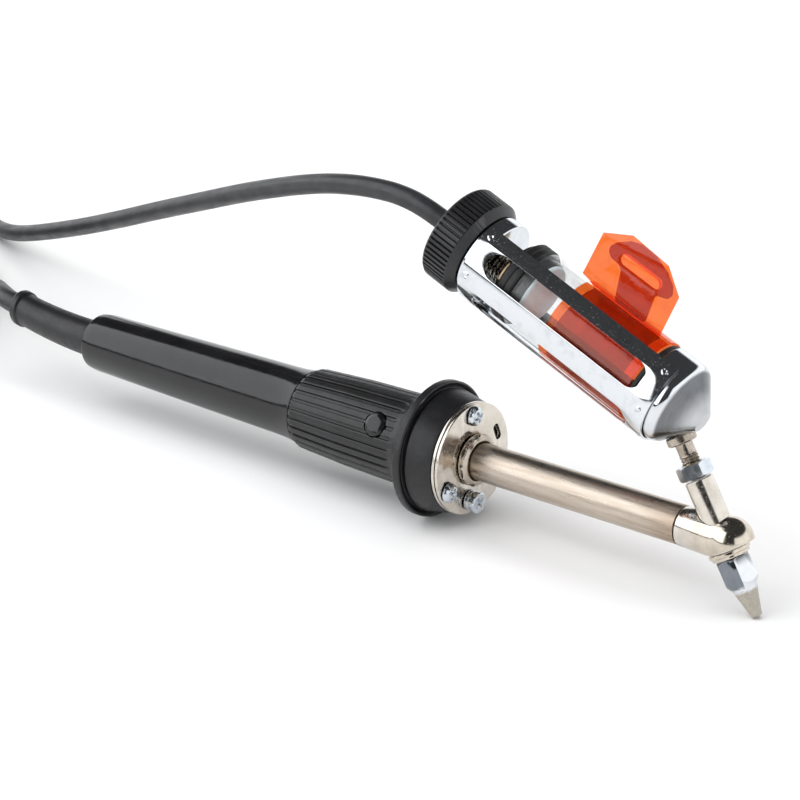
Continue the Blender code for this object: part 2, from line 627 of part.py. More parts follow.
handle_parts()
inner_parts()
boot_parts()
flange_parts()
heater_parts()
suction_parts()
cap_parts()
cage_parts()
closure_parts()
tube_parts()
grip_parts()
cord_parts()
plug_parts()
fitting_parts()
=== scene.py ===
"""The looks of the electric desoldering iron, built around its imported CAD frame.

Builders work in millimetres, in the frame of the axis a piece is turned about, and piece() places
the result in the scene's metres. Each mesh keeps its local millimetres in the "place" attribute,
which the materials read, so that their grain stays on the piece.
"""

import math

import bmesh
import bpy
from mathutils import Matrix, Vector


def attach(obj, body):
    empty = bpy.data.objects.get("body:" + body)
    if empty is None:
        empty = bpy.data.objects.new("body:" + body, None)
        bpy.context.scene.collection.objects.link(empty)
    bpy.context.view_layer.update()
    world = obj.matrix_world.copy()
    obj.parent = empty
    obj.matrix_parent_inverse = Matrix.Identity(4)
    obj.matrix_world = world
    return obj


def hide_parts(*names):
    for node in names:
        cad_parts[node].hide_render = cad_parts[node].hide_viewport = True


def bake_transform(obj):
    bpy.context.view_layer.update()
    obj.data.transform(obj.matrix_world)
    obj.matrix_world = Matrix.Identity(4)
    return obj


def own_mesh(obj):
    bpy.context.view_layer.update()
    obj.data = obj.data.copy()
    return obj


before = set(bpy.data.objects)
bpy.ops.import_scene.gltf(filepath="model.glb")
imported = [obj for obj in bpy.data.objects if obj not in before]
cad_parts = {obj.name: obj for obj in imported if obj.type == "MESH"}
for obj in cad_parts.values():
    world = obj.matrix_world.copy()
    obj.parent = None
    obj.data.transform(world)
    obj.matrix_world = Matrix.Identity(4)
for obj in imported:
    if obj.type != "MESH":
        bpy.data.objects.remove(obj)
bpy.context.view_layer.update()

MM = 0.001
TURN = 2 * math.pi
UP = Vector((0, 0, 1))
SCENE = bpy.context.scene

# Driving numbers of the CAD, in millimetres and degrees.
AXIS_HEIGHT = 18.6
BUTTON_X = 17.4
BUTTON_ELEVATION = 32.5
HEAD_X = 120.4
SUCTION_ANGLE = 59.4
KNOB = (36.4, 0, 80.1)
COLLECTOR_ANGLE = 23.2
CABLE_RADIUS = 3.2
HOSE_RADIUS = 2.75
COIL_LIFT = 0.8
BOOT_START = -114.4
BOOT_END = -149.5
BOOT_RISE = 1.9
BOOT_DRIFT = 2.2
CABLE_COIL = ((-262.6, 33), 35)
HOSE_COIL = ((-332.6, 84), 30)
GRIP_RIBS = 28
KNOB_RIBS = 58
GROUND_ANGLE = 173
SCREW_ANGLES = (0, 120, 240, GROUND_ANGLE)


# --- frames

def basis(x, y, z, origin=(0, 0, 0)):
    """The matrix with these three columns and this origin."""
    matrix = Matrix((x, y, z)).transposed().to_4x4()
    matrix.translation = origin
    return matrix


def axis_frame(origin, x_axis, z_axis):
    """Takes local millimetres to the scene's metres."""
    z = Vector(z_axis).normalized()
    x = Vector(x_axis).normalized()
    return Matrix.Scale(MM, 4) @ basis(x, z.cross(x), z, origin)


def polar(radius, angle, height=0):
    """A local point: the angle, in degrees, runs from local X towards local Y."""
    turn = math.radians(angle)
    return Vector((radius * math.cos(turn), radius * math.sin(turn), height))


fall = math.radians(COLLECTOR_ANGLE)
dive = math.radians(SUCTION_ANGLE)
lean = math.radians(BUTTON_ELEVATION)
WORLD = Matrix.Scale(MM, 4)
TOOL = axis_frame((BUTTON_X, 0, AXIS_HEIGHT), (0, 0, 1), (1, 0, 0))
BUTTON = axis_frame((BUTTON_X, 0, AXIS_HEIGHT), (1, 0, 0), (0, -math.cos(lean), math.sin(lean)))
COLLECTOR = axis_frame(KNOB, (math.sin(fall), 0, math.cos(fall)), (math.cos(fall), 0, -math.sin(fall)))
SUCTION = axis_frame((HEAD_X, 0, AXIS_HEIGHT), (math.sin(dive), 0, math.cos(dive)), (-math.cos(dive), 0,
    math.sin(dive)))
PLUG = axis_frame((-217.7, -8.4, 9), (0, 0, 1), (1, 0, 0))
FITTING = axis_frame((-368.1, 49.7, 5), (0, 0, 1), (0, -1, 0))


# --- materials

class Graph:
    """A short way to write the node tree of a new material, or of the world if it has no slot."""

    def __init__(self, name, slot=None):
        self.owner = bpy.data.materials.new(name) if slot else bpy.data.worlds.new(name)
        self.owner.use_nodes = True
        self.tree = self.owner.node_tree
        self.tree.nodes.clear()
        if slot:
            self.owner["slot"] = slot
            self.place = self.add("Attribute", attribute_name="place").outputs["Vector"]

    def add(self, kind, inputs=None, **settings):
        node = self.tree.nodes.new("ShaderNode" + kind)
        for key, value in settings.items():
            setattr(node, key, value)
        for key, value in (inputs or {}).items():
            if isinstance(value, bpy.types.NodeSocket):
                self.tree.links.new(value, node.inputs[key])
            elif node.inputs[key].type == "RGBA":
                node.inputs[key].default_value = (*value, 1)
            else:
                node.inputs[key].default_value = value
        return node

    def math(self, operation, a, b=0, c=0):
        return self.add("Math", {0: a, 1: b, 2: c}, operation=operation).outputs[0]

    def noise(self, scale, detail, stretch=(1, 1, 1), roughness=0.55):
        """Cloudy noise: the scale is in features per millimetre, stretched along each axis."""
        vector = self.add("VectorMath", {0: self.place, 1: stretch}, operation="MULTIPLY").outputs[0]
        inputs = {"Vector": vector, "Scale": scale, "Detail": detail, "Roughness": roughness}
        return self.add("TexNoise", inputs).outputs["Fac"]

    def coordinate(self, axis):
        return self.add("SeparateXYZ", {0: self.place}).outputs[axis]

    def span(self, value, low, high, out_low=0, out_high=1, smooth=False):
        """Maps a value from one range to another, held at its ends."""
        inputs = {"Value": value, "From Min": low, "From Max": high, "To Min": out_low,
            "To Max": out_high}
        kind = "SMOOTHSTEP" if smooth else "LINEAR"
        return self.add("MapRange", inputs, interpolation_type=kind).outputs["Result"]

    def blend(self, share, a, b):
        return self.add("Mix", {0: share, 6: a, 7: b}, data_type="RGBA").outputs[2]

    def bump(self, height, depth, normal=None):
        """A bump whose depth is in millimetres."""
        inputs = {"Height": height, "Distance": depth * MM, "Strength": 1}
        if normal is not None:
            inputs["Normal"] = normal
        return self.add("Bump", inputs).outputs["Normal"]

    def edges(self, low=0.52, high=0.6):
        """1 on convex edges and 0 elsewhere."""
        return self.span(self.add("NewGeometry").outputs["Pointiness"], low, high)

    def finish(self, shader):
        self.add("OutputMaterial", {"Surface": shader})
        return self.owner

    def surface(self, colour, roughness, metallic, normal):
        """Ends the graph in a principled shader and gives its material."""
        shader = self.add("BsdfPrincipled", {"Base Color": colour, "Roughness": roughness,
            "Metallic": metallic, "Normal": normal})
        return self.finish(shader.outputs[0])


def shade(colour, gain, lift=0):
    """A colour made lighter or darker."""
    return tuple(lift + gain * x for x in colour)


def polymer(name, slot, dark, light, rough, grain, grain_depth, edge_light=0, stretch=(1, 1, 1)):
    """Moulded plastic or rubber: cloudy colour, dust, fine scratches, a grain and worn edges."""
    g = Graph(name, slot)
    colour = g.blend(g.span(g.noise(0.16, 4), 0.35, 0.7), dark, light)
    dust = g.span(g.noise(5.5, 2), 0.69, 0.76, 0, 0.35)
    colour = g.blend(dust, colour, shade(light, 3, 0.06))
    scratch = g.span(g.noise(2.6, 2, (1, 1, 0.05)), 0.66, 0.72, 0, 0.4)
    colour = g.blend(scratch, colour, shade(light, 1.7, 0.02))
    if edge_light:
        colour = g.blend(g.math("MULTIPLY", g.edges(), edge_light), colour, (0.13, 0.13, 0.13))
    smear = g.noise(0.5, 3, stretch)
    roughness = g.span(smear, 0.3, 0.75, *rough)
    normal = g.bump(g.noise(grain, 2, stretch), grain_depth)
    normal = g.bump(g.noise(0.35, 1), 0.03, normal)
    return g.surface(colour, roughness, 0, normal)


def metal(name, slot, bright, dull, rough, brush, brush_depth, stain=None, stain_level=0.62, pits=0):
    """Plated or bare metal: brushed grain, cloudy tarnish, handling marks and small pits."""
    g = Graph(name, slot)
    colour = g.blend(g.span(g.noise(0.22, 5), 0.38, 0.66), bright, dull)
    if stain is not None:
        mark = g.span(g.noise(0.55, 5, roughness=0.65), stain_level, stain_level + 0.12, 0, 0.75)
        colour = g.blend(mark, colour, stain)
    colour = g.blend(g.math("MULTIPLY", g.edges(0.53, 0.62), 0.4), colour, (0.95, 0.94, 0.92))
    line = g.noise(3, 3, brush)
    roughness = g.span(g.noise(0.8, 4, brush), 0.3, 0.72, *rough)
    normal = g.bump(line, brush_depth)
    if pits:
        pit = g.span(g.noise(2.4, 1), 0.66, 0.74)
        roughness = g.math("ADD", roughness, g.math("MULTIPLY", pit, 0.25))
        normal = g.bump(pit, -pits, normal)
    return g.surface(colour, roughness, 1, normal)


def heater_steel():
    """Nickel-plated steel tube, straw and brown from the heat, darker towards both ends."""
    g = Graph("heater_steel", "warm_steel")
    along = g.coordinate(2)
    wander = g.math("MULTIPLY_ADD", g.noise(0.09, 3), 16, along)
    near_plate = g.span(wander, 26, 44, 1, 0, smooth=True)
    near_head = g.span(wander, 84, 104, 0, 0.85, smooth=True)
    heat = g.math("MAXIMUM", near_plate, near_head)
    streak = g.span(g.noise(0.9, 4, (1, 1, 0.07)), 0.35, 0.7)
    plain = g.blend(streak, (0.46, 0.385, 0.315), (0.58, 0.51, 0.44))
    straw = g.blend(streak, (0.3, 0.215, 0.15), (0.44, 0.345, 0.26))
    colour = g.blend(heat, plain, straw)
    spot = g.span(g.noise(1.1, 4, roughness=0.7), 0.63, 0.74, 0, 0.6)
    colour = g.blend(spot, colour, (0.22, 0.16, 0.115))
    roughness = g.span(g.noise(1.6, 4, (1, 1, 0.1)), 0.3, 0.72, 0.24, 0.42)
    normal = g.bump(g.noise(4, 3, (1, 1, 0.04)), 0.006)
    return g.surface(colour, roughness, 1, normal)


def nozzle_metal():
    """Nickel flats with a painted dark reflection on one side, and a rough tinned cone below them."""
    g = Graph("nozzle_metal", "warm_steel")
    along = g.coordinate(2)
    ragged = g.math("MULTIPLY_ADD", g.noise(1.3, 4), 1.6, along)
    tinned = g.span(ragged, -13.6, -12.6, 1, 0)
    bright = g.blend(g.noise(0.5, 4), (0.8, 0.82, 0.85), (0.66, 0.68, 0.71))
    # The dark colour on one side of the flats is a painted dark reflection.
    painted_dark_side = g.blend(g.noise(0.9, 4, (1, 1, 0.3)), (0.15, 0.165, 0.19), (0.27, 0.29, 0.32))
    painted_side_mask = g.math("MULTIPLY_ADD", g.coordinate(0), 0.777, g.math("MULTIPLY", g.coordinate(1), 0.629))
    plate = g.blend(g.span(painted_side_mask, -0.05, 0.05), painted_dark_side, bright)
    plate = g.blend(g.span(ragged, -12.3, -11.6, 1, 0), plate, bright)
    crust = g.blend(g.noise(1.8, 6, roughness=0.7), (0.3, 0.26, 0.21), (0.66, 0.62, 0.55))
    colour = g.blend(tinned, plate, crust)
    shine = g.span(g.noise(1.4, 4), 0.3, 0.75, 0.06, 0.16)
    roughness = g.math("MULTIPLY_ADD", tinned, 0.4, shine)
    lumps = g.math("MULTIPLY", g.noise(2.2, 5, roughness=0.65), tinned)
    normal = g.bump(lumps, 0.16)
    normal = g.bump(g.noise(5, 2, (1, 1, 0.1)), 0.003, normal)
    metallic = g.math("MULTIPLY_ADD", tinned, -0.35, 1)
    return g.surface(colour, roughness, metallic, normal)


def cap_chrome():
    """Chrome, with a lathe-brushed cone that is darker at its foot: the dark foot is a painted dark
    reflection.
    """
    g = Graph("cap_chrome", "chrome")
    along = g.coordinate(2)
    cone = g.span(along, 76.3, 76.8)
    rings = g.noise(9, 4, (0.04, 0.04, 1), roughness=0.7)
    radial = g.noise(2.2, 3, (1, 1, 0.02))
    # The dark satin colour, strongest at the cone's foot, is a painted dark reflection.
    painted_dark_satin = g.blend(rings, (0.09, 0.095, 0.105), (0.28, 0.29, 0.3))
    light_satin = g.blend(rings, (0.42, 0.43, 0.45), (0.66, 0.67, 0.69))
    satin = g.blend(g.span(along, 78.6, 82.6, smooth=True), painted_dark_satin, light_satin)
    shiny = g.blend(g.noise(0.4, 3), (0.77, 0.79, 0.82), (0.68, 0.7, 0.73))
    colour = g.blend(cone, shiny, satin)
    satin_rough = g.span(radial, 0.3, 0.7, 0.14, 0.26)
    shiny_rough = g.span(g.noise(1.2, 4), 0.4, 0.75, 0.05, 0.14)
    difference = g.math("SUBTRACT", satin_rough, shiny_rough)
    roughness = g.math("MULTIPLY_ADD", difference, cone, shiny_rough)
    normal = g.bump(g.math("MULTIPLY", rings, cone), 0.012)
    normal = g.bump(g.noise(0.5, 2), 0.01, normal)
    return g.surface(colour, roughness, 1, normal)


def sheet_chrome():
    """Chromed sheet with faint rolling lines, pinholes and a wavy surface."""
    g = Graph("sheet_chrome", "chrome")
    speck = g.span(g.noise(3.4, 2, roughness=0.6), 0.68, 0.73)
    tarnish = g.span(g.noise(0.35, 5), 0.5, 0.75)
    colour = g.blend(tarnish, (0.76, 0.785, 0.815), (0.62, 0.645, 0.68))
    colour = g.blend(g.math("MULTIPLY", speck, 0.5), colour, (0.55, 0.56, 0.58))
    smear = g.span(g.noise(0.9, 5, (1, 1, 0.15)), 0.35, 0.75, 0.04, 0.15)
    roughness = g.math("MULTIPLY_ADD", speck, 0.35, smear)
    normal = g.bump(speck, -0.012)
    normal = g.bump(g.noise(0.28, 2, (1, 1, 0.25)), 0.05, normal)
    normal = g.bump(g.noise(6, 2, (1, 1, 0.03)), 0.0015, normal)
    return g.surface(colour, roughness, 1, normal)


def see_through(name, slot, clear, hazy, haze, rough, smudge_scale, index):
    """A clear film or glass wall: what is behind shows, tinted, under a gloss and a thin haze."""
    g = Graph(name, slot)
    smudge = g.noise(smudge_scale, 4)
    tint = g.blend(g.span(smudge, 0.3, 0.75), clear, shade(clear, 0.93))
    through = g.add("BsdfTransparent", {"Color": tint}).outputs[0]
    body = g.add("BsdfDiffuse", {"Color": hazy, "Roughness": 0.4}).outputs[0]
    normal = g.bump(g.noise(0.3, 2), 0.06)
    roughness = g.span(smudge, 0.35, 0.75, *rough)
    gloss = g.add("BsdfGlossy", {"Color": (1, 1, 1), "Roughness": roughness, "Normal": normal}).outputs[0]
    dusty = g.span(smudge, 0.45, 0.8, haze, 2.2 * haze)
    inner = g.add("MixShader", {0: dusty, 1: through, 2: body}).outputs[0]
    facing = g.add("LayerWeight", {"Blend": 0.5, "Normal": normal}).outputs["Facing"]
    head_on = ((index - 1) / (index + 1)) ** 2
    mirror = g.math("MULTIPLY_ADD", g.math("POWER", facing, 5), 1 - head_on, head_on)
    return g.finish(g.add("MixShader", {0: mirror, 1: inner, 2: gloss}).outputs[0])


def fibre(name, slot, dark, light, scale):
    """Felt, glass wool or fired ceramic: a matt grain with a tangle of fibres."""
    g = Graph(name, slot)
    tangle = g.noise(scale, 6, (1, 1, 0.5), roughness=0.7)
    colour = g.blend(tangle, dark, light)
    roughness = g.span(tangle, 0.3, 0.7, 0.75, 0.95)
    normal = g.bump(tangle, 0.12)
    return g.surface(colour, roughness, 0, normal)


BLACK_GLOSS = polymer("handle_black", "black_gloss", (0.006, 0.006, 0.0065), (0.011, 0.011, 0.012),
    (0.09, 0.18), 3, 0.003)
BLACK_SATIN = polymer("grip_black", "black_satin", (0.006, 0.006, 0.0065), (0.012, 0.012, 0.013),
    (0.28, 0.42), 4, 0.012, edge_light=0.3)
KNOB_BLACK = polymer("knob_black", "black_satin", (0.009, 0.009, 0.01), (0.018, 0.018, 0.02),
    (0.28, 0.42), 3.2, 0.012, edge_light=0.35)
RUBBER = polymer("guard_rubber", "black_rubber", (0.006, 0.006, 0.007), (0.013, 0.013, 0.015),
    (0.34, 0.52), 5, 0.016, edge_light=0.8)
SEAL_RUBBER = polymer("seal_rubber", "black_rubber", (0.008, 0.008, 0.008), (0.014, 0.014, 0.014),
    (0.45, 0.65), 3, 0.01, edge_light=0.2)
CORD_RUBBER = polymer("cord_black", "cord_rubber", (0.013, 0.0138, 0.0155), (0.032, 0.0335, 0.037),
    (0.32, 0.52), 4, 0.015, stretch=(1, 1, 0.2))
STRAP_BLACK = polymer("strap_black", "black_satin", (0.01, 0.01, 0.01), (0.02, 0.02, 0.021),
    (0.3, 0.5), 2.4, 0.03, edge_light=0.25)
NICKEL = metal("nickel_plate", "nickel", (0.74, 0.69, 0.62), (0.6, 0.55, 0.48), (0.12, 0.24),
    (1, 0.12, 1), 0.004, stain=(0.4, 0.31, 0.22), stain_level=0.68, pits=0.008)
HEAD_NICKEL = metal("head_nickel", "nickel", (0.67, 0.605, 0.52), (0.51, 0.445, 0.36), (0.08, 0.2),
    (1, 1, 0.3), 0.003, stain=(0.34, 0.25, 0.17), stain_level=0.66, pits=0.01)
AGED_NICKEL = metal("aged_nickel", "nickel", (0.52, 0.46, 0.39), (0.37, 0.315, 0.26), (0.14, 0.28),
    (1, 1, 0.3), 0.004, stain=(0.26, 0.19, 0.13), pits=0.01)
DULL_BRASS = metal("dull_brass", "nickel", (0.36, 0.27, 0.17), (0.22, 0.16, 0.1), (0.18, 0.3),
    (1, 1, 0.1), 0.006)
ZINC = metal("zinc_plate", "zinc", (0.66, 0.71, 0.76), (0.5, 0.54, 0.59), (0.1, 0.2), (1, 1, 0.4),
    0.003)
SPRING = metal("spring_wire", "spring_steel", (0.34, 0.33, 0.31), (0.22, 0.21, 0.19), (0.16, 0.26),
    (1, 1, 1), 0.003)
CHROME = metal("chrome_plate", "chrome", (0.74, 0.77, 0.81), (0.64, 0.67, 0.71), (0.05, 0.16),
    (1, 1, 0.2), 0.002, pits=0.006)
HEATER = heater_steel()
NOZZLE = nozzle_metal()
CAP = cap_chrome()
CAGE = sheet_chrome()
GLASS = see_through("clear_glass", "glass", (0.985, 0.99, 0.99), (0.75, 0.78, 0.8), 0.02, (0.015, 0.07),
    0.35, index=1.4)
FILM = see_through("orange_film", "orange_film", (0.985, 0.43, 0.18), (0.9, 0.2, 0.03), 0.04,
    (0.04, 0.12), 0.2, index=1.5)
LINER_FILM = see_through("red_liner", "orange_film", (0.64, 0.27, 0.21), (0.6, 0.08, 0.03), 0.03,
    (0.05, 0.14), 0.25, index=1.3)
TAB_FILM = see_through("red_tab", "orange_film", (0.68, 0.26, 0.21), (0.5, 0.05, 0.03), 0.03,
    (0.05, 0.14), 0.25, index=1.4)
# The felt's blue tint is painted in to cancel the orange light that reaches it through the film.
FELT = fibre("filter_felt", "filter_white", (0.66, 0.77, 0.81), (0.84, 0.92, 0.95), 2.4)
CERAMIC = fibre("element_ceramic", "ceramic", (0.62, 0.57, 0.48), (0.86, 0.83, 0.76), 1.2)
BOARD = polymer("board_green", "board_green", (0.02, 0.1, 0.035), (0.05, 0.22, 0.08), (0.3, 0.5), 1.5,
    0.03, edge_light=0.3)
WIRE_RED = polymer("wire_red", "wire_red", (0.35, 0.02, 0.015), (0.55, 0.035, 0.02), (0.35, 0.5), 3, 0.01)
WIRE_WHITE = polymer("wire_white", "wire_white", (0.6, 0.6, 0.57), (0.8, 0.8, 0.77), (0.4, 0.6), 3, 0.01)


# --- shapes

def linked(name, data):
    """A new object in the scene."""
    item = bpy.data.objects.new(name, data)
    SCENE.collection.objects.link(item)
    return item


def mesh_of(work):
    """Closes the bmesh work and gives its mesh, faces outward."""
    bmesh.ops.recalc_face_normals(work, faces=work.faces)
    mesh = bpy.data.meshes.new("shape")
    work.to_mesh(mesh)
    work.free()
    return mesh


def rounded(outline, radius, loop, count=4):
    """The outline with its corners replaced by short arcs. Corners on the axis stay."""
    points = [Vector(point) for point in outline]
    result = []
    for i, here in enumerate(points):
        is_end = not loop and i in (0, len(points) - 1)
        back = points[i - 1] - here
        ahead = points[(i + 1) % len(points)] - here
        turn = math.pi - back.angle(ahead, math.pi)
        if is_end or here.x < 1e-6 or turn < 0.1:
            result.append(here)
            continue
        cut = min(radius * math.tan(turn / 2), 0.45 * back.length, 0.45 * ahead.length)
        start = here + back.normalized() * cut
        end = here + ahead.normalized() * cut
        for k in range(count + 1):
            t = k / count
            result.append((1 - t) ** 2 * start + 2 * t * (1 - t) * here + t * t * end)
    return result


def refined(outline, step, low, high, loop):
    """Adds points to the stretches longer than a step, between two heights."""
    points = [Vector(point) for point in outline]
    result = []
    following = points[1:] + points[:1] if loop else points[1:]
    for a, b in zip(points, following):
        result.append(a)
        middle = (a.y + b.y) / 2
        pieces = math.ceil((b - a).length / step) if low <= middle <= high else 1
        result += [a.lerp(b, k / pieces) for k in range(1, pieces)]
    return result if loop else result + [points[-1]]


def lathe(outline, steps=128, loop=False, rule=None):
    """Turns (radius, height) points about local Z. A rule may change a point's radius."""
    work = bmesh.new()
    rings = []
    for radius, height in outline:
        if radius < 1e-6:
            rings.append([work.verts.new((0, 0, height))])
            continue
        ring = []
        for i in range(steps):
            angle = TURN * i / steps
            r = rule(radius, height, angle) if rule else radius
            ring.append(work.verts.new((r * math.cos(angle), r * math.sin(angle), height)))
        rings.append(ring)
    pairs = list(zip(rings, rings[1:]))
    if loop:
        pairs.append((rings[-1], rings[0]))
    for a, b in pairs:
        for i in range(steps):
            j = (i + 1) % steps
            corners = [a[i % len(a)], a[j % len(a)], b[j % len(b)], b[i % len(b)]]
            corners = list(dict.fromkeys(corners))
            if len(corners) > 2:
                work.faces.new(corners)
    return mesh_of(work)


def turned(outline, radius=0.3, steps=128, rule=None, step=None, low=-1e9, high=1e9):
    """A lathe shape with rounded corners, and finer rings between two heights.

    An outline that starts on the axis makes a solid shape, and any other closes into a ring.
    """
    loop = outline[0][0] > 0
    points = rounded(outline, radius, loop)
    if step:
        points = refined(points, step, low, high, loop)
    return lathe(points, steps, loop, rule)


def circle(centre, radius, count):
    return arc(centre, radius, 0, 360, count)[:-1]


def arc(centre, radius, start, end, count):
    points = []
    for i in range(count + 1):
        point = polar(radius, start + (end - start) * i / count)
        points.append((centre[0] + point.x, centre[1] + point.y))
    return points


def stadium(length, half_width):
    """The outline of a slot with round ends."""
    reach = length / 2 - half_width
    return arc((reach, 0), half_width, -90, 90, 16) + arc((-reach, 0), half_width, 90, 270, 16)


def plate(outlines, low, high, bevel=0.08):
    """A flat piece from closed outlines in local XY, with small round edges."""
    curve = bpy.data.curves.new("plate", "CURVE")
    curve.dimensions = "2D"
    curve.fill_mode = "BOTH"
    curve.extrude = (high - low) / 2 - bevel
    curve.bevel_depth = bevel
    curve.offset = -bevel
    curve.bevel_resolution = 2
    for outline in outlines:
        spline = curve.splines.new("POLY")
        spline.points.add(len(outline) - 1)
        for point, place in zip(spline.points, outline):
            point.co = (place[0], place[1], 0, 1)
        spline.use_cyclic_u = True
    item = linked("plate", curve)
    mesh = mesh_from(item)
    bpy.data.objects.remove(item)
    mesh.transform(Matrix.Translation((0, 0, (low + high) / 2)))
    return mesh


def mesh_from(item):
    """The mesh an object makes with its modifiers, its doubled points merged."""
    bpy.context.view_layer.update()
    graph = bpy.context.evaluated_depsgraph_get()
    mesh = bpy.data.meshes.new_from_object(item.evaluated_get(graph))
    work = bmesh.new()
    work.from_mesh(mesh)
    bmesh.ops.remove_doubles(work, verts=work.verts, dist=0.0005)
    return mesh_of(work)


def block(size, centre):
    work = bmesh.new()
    scale = Matrix.Diagonal((*size, 1))
    bmesh.ops.create_cube(work, size=1, matrix=Matrix.Translation(centre) @ scale)
    return mesh_of(work)


def hex_prism(flats, turn, low, high):
    """A hexagonal bar, turned by an angle about its axis."""
    corner = flats / 2 / math.cos(math.radians(30))
    corners = [tuple(polar(corner, turn + 60 * i)[:2]) for i in range(6)]
    return plate([corners], low, high, 0)


def rod(radius, low, high, steps=64):
    return lathe([(0, high), (radius, high), (radius, low), (0, low)], steps)


def moved(mesh, matrix):
    mesh.transform(matrix)
    return mesh


def seated(mesh, source, target):
    """The mesh taken from one axis frame's millimetres to another's."""
    return moved(mesh, target.inverted() @ source)


def towards(direction):
    """Turns local Z to a direction."""
    return direction.to_track_quat("Z", "Y").to_matrix().to_4x4()


def combined(base, others, operation="DIFFERENCE"):
    """Cuts the other meshes from the base, or joins or intersects them."""
    item = linked("base", base)
    helpers = []
    for other in others:
        helper = linked("helper", other)
        modifier = item.modifiers.new("join", "BOOLEAN")
        modifier.operation = operation
        modifier.solver = "EXACT"
        modifier.object = helper
        helpers.append(helper)
    mesh = mesh_from(item)
    for used in [item] + helpers:
        bpy.data.objects.remove(used)
    return mesh


def softened(mesh, width, angle=35):
    """Rounds the sharp edges of a cut shape."""
    item = linked("soft", mesh)
    bevel = item.modifiers.new("edges", "BEVEL")
    bevel.width = width
    bevel.segments = 2
    bevel.limit_method = "ANGLE"
    bevel.angle_limit = math.radians(angle)
    result = mesh_from(item)
    bpy.data.objects.remove(item)
    return result


def joined(meshes):
    """Several closed shapes in one mesh."""
    work = bmesh.new()
    for mesh in meshes:
        work.from_mesh(mesh)
    return mesh_of(work)


def piece(name, mesh, axis, material, replaces="", body="iron", sharp=34):
    """Places a shape in the scene, lets it ride on its body and stand for the CAD nodes it names."""
    place = mesh.attributes.get("place")
    if place is None:
        place = mesh.attributes.new("place", "FLOAT_VECTOR", "POINT")
        values = [number for vertex in mesh.vertices for number in vertex.co]
        place.data.foreach_set("vector", values)
    mesh.transform(axis)
    mesh.polygons.foreach_set("use_smooth", [True] * len(mesh.polygons))
    mesh.set_sharp_from_angle(angle=math.radians(sharp))
    mesh.name = name
    item = linked(name, mesh)
    mesh.materials.clear()
    mesh.materials.append(material)
    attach(item, body)
    if replaces:
        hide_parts(*replaces.split())
    return item


def lathed(name, axis, material, replaces, *shape, body="iron", **detail):
    """A piece that is only turned."""
    return piece(name, turned(*shape, **detail), axis, material, replaces, body)


# --- radius rules

def ribs(count, depth, width, low, high, fade, least, flank=None):
    """Straight grooves along the axis between two heights, on radii above a least one.

    The width is half the groove's share of the pitch. A flank makes a flat bottom and steep sides.
    """
    def rule(radius, height, angle):
        if radius < least:
            return radius
        share = min(1, max(0, (height - low) / fade)) * min(1, max(0, (high - height) / fade))
        away = abs((angle * count / TURN) % 1 - 0.5)
        if flank:
            groove = min(1, max(0, (width - away) / flank))
        else:
            groove = 0.5 + 0.5 * math.cos(math.pi * min(1, away / width))
        return radius - depth * groove * share
    return rule


def thread(pitch, depth, low, high, least):
    """A V thread between two heights."""
    def rule(radius, height, angle):
        if radius < least or not low <= height <= high:
            return radius
        phase = (height / pitch - angle / TURN) % 1
        fade = min(1, (height - low) / 0.4, (high - height) / 0.4)
        return radius - depth * fade * (1 - abs(2 * phase - 1))
    return rule


def dimples(spots, depth, size, least):
    """Small round marks at (angle, height) spots: a positive depth is a dent."""
    def rule(radius, height, angle):
        if radius < least:
            return radius
        for spot, level in spots:
            across = (math.degrees(angle) - spot + 180) % 360 - 180
            distance = math.hypot(math.radians(across) * radius, height - level) / size
            if distance < 2.5:
                radius -= depth * math.exp(-distance * distance)
        return radius
    return rule


# --- cords

CABLE_LEAD = [
    (-124.6, 1.36, 19.77), (-132.6, 2.35, 20.55), (-138.4, 3.25, 21), (-144.8, 6.2, 20.6),
    (-154.8, 13.2, 17.9), (-166.5, 22, 13.3), (-178.5, 31, 8.8), (-190.5, 40.5, 5.2),
    (-202.5, 49.6, 3.6), (-216.5, 58.5, 3.3), (-232.5, 66.6, 3.4), (-247.5, 72, 3.7)]
CABLE_TAIL = [(-250, -8.4, 10.1), (-238, -8.4, 9.4), (-226, -8.4, 9), (-217, -8.4, 9)]
HOSE_LEAD = [
    (38.3, 0, 79.3), (32, 0, 82), (25.8, 0, 84.3), (20, 0.4, 85.5), (12.6, 1.2, 85.8),
    (1.8, 2.5, 84.9), (-10.8, 5, 82.4), (-25.2, 9, 78.2), (-40.2, 13.5, 73.1),
    (-56.2, 18.5, 67.3), (-79.2, 26, 58.4), (-104, 34.5, 48.7), (-131, 44, 37.9),
    (-158, 54, 27.4), (-183, 63.6, 18.2), (-205, 72.2, 10.6), (-221, 78.7, 6.1),
    (-236, 85.4, 3.7), (-252.6, 93.2, 2.9), (-272.6, 103, 2.9), (-294.6, 112.4, 3),
    (-314.6, 118, 3.3)]
HOSE_TAIL = [(-368.1, 74, 8.4), (-368.1, 64, 6.2), (-368.1, 55, 5), (-368.1, 48, 5)]
COLUMNS = (1, 0, -1, -1, 0, 1)
LAYERS = (0, 0, 0, 1, 1, 1)
# Where, before the end of each turn, the cord starts to move over to the next turn's place.
SHIFT_STARTS = (-128, -128, -155, -182, -182)
SHIFT_LENGTH = 90
COIL_STEPS = 24
CORD_STEP = 1.5


def coil_points(coil, radius, turns):
    """A coil three wide and two high, anticlockwise from its far side, outer turn first."""
    centre, middle = coil
    points = []
    count = round(turns * COIL_STEPS)
    for i in range(count + 1):
        turn = 360 * turns * i / count
        column, layer = COLUMNS[0], LAYERS[0]
        for k, start in enumerate(SHIFT_STARTS):
            share = min(1, max(0, (turn - 360 * (k + 1) - start) / SHIFT_LENGTH))
            share = share * share * (3 - 2 * share)
            column += share * (COLUMNS[k + 1] - COLUMNS[k])
            layer += share * (LAYERS[k + 1] - LAYERS[k])
        point = polar(middle + column * 2 * radius, 90 + turn)
        height = COIL_LIFT + radius + layer * 2 * radius
        points.append((centre[0] + point.x, centre[1] + point.y, height))
    return points


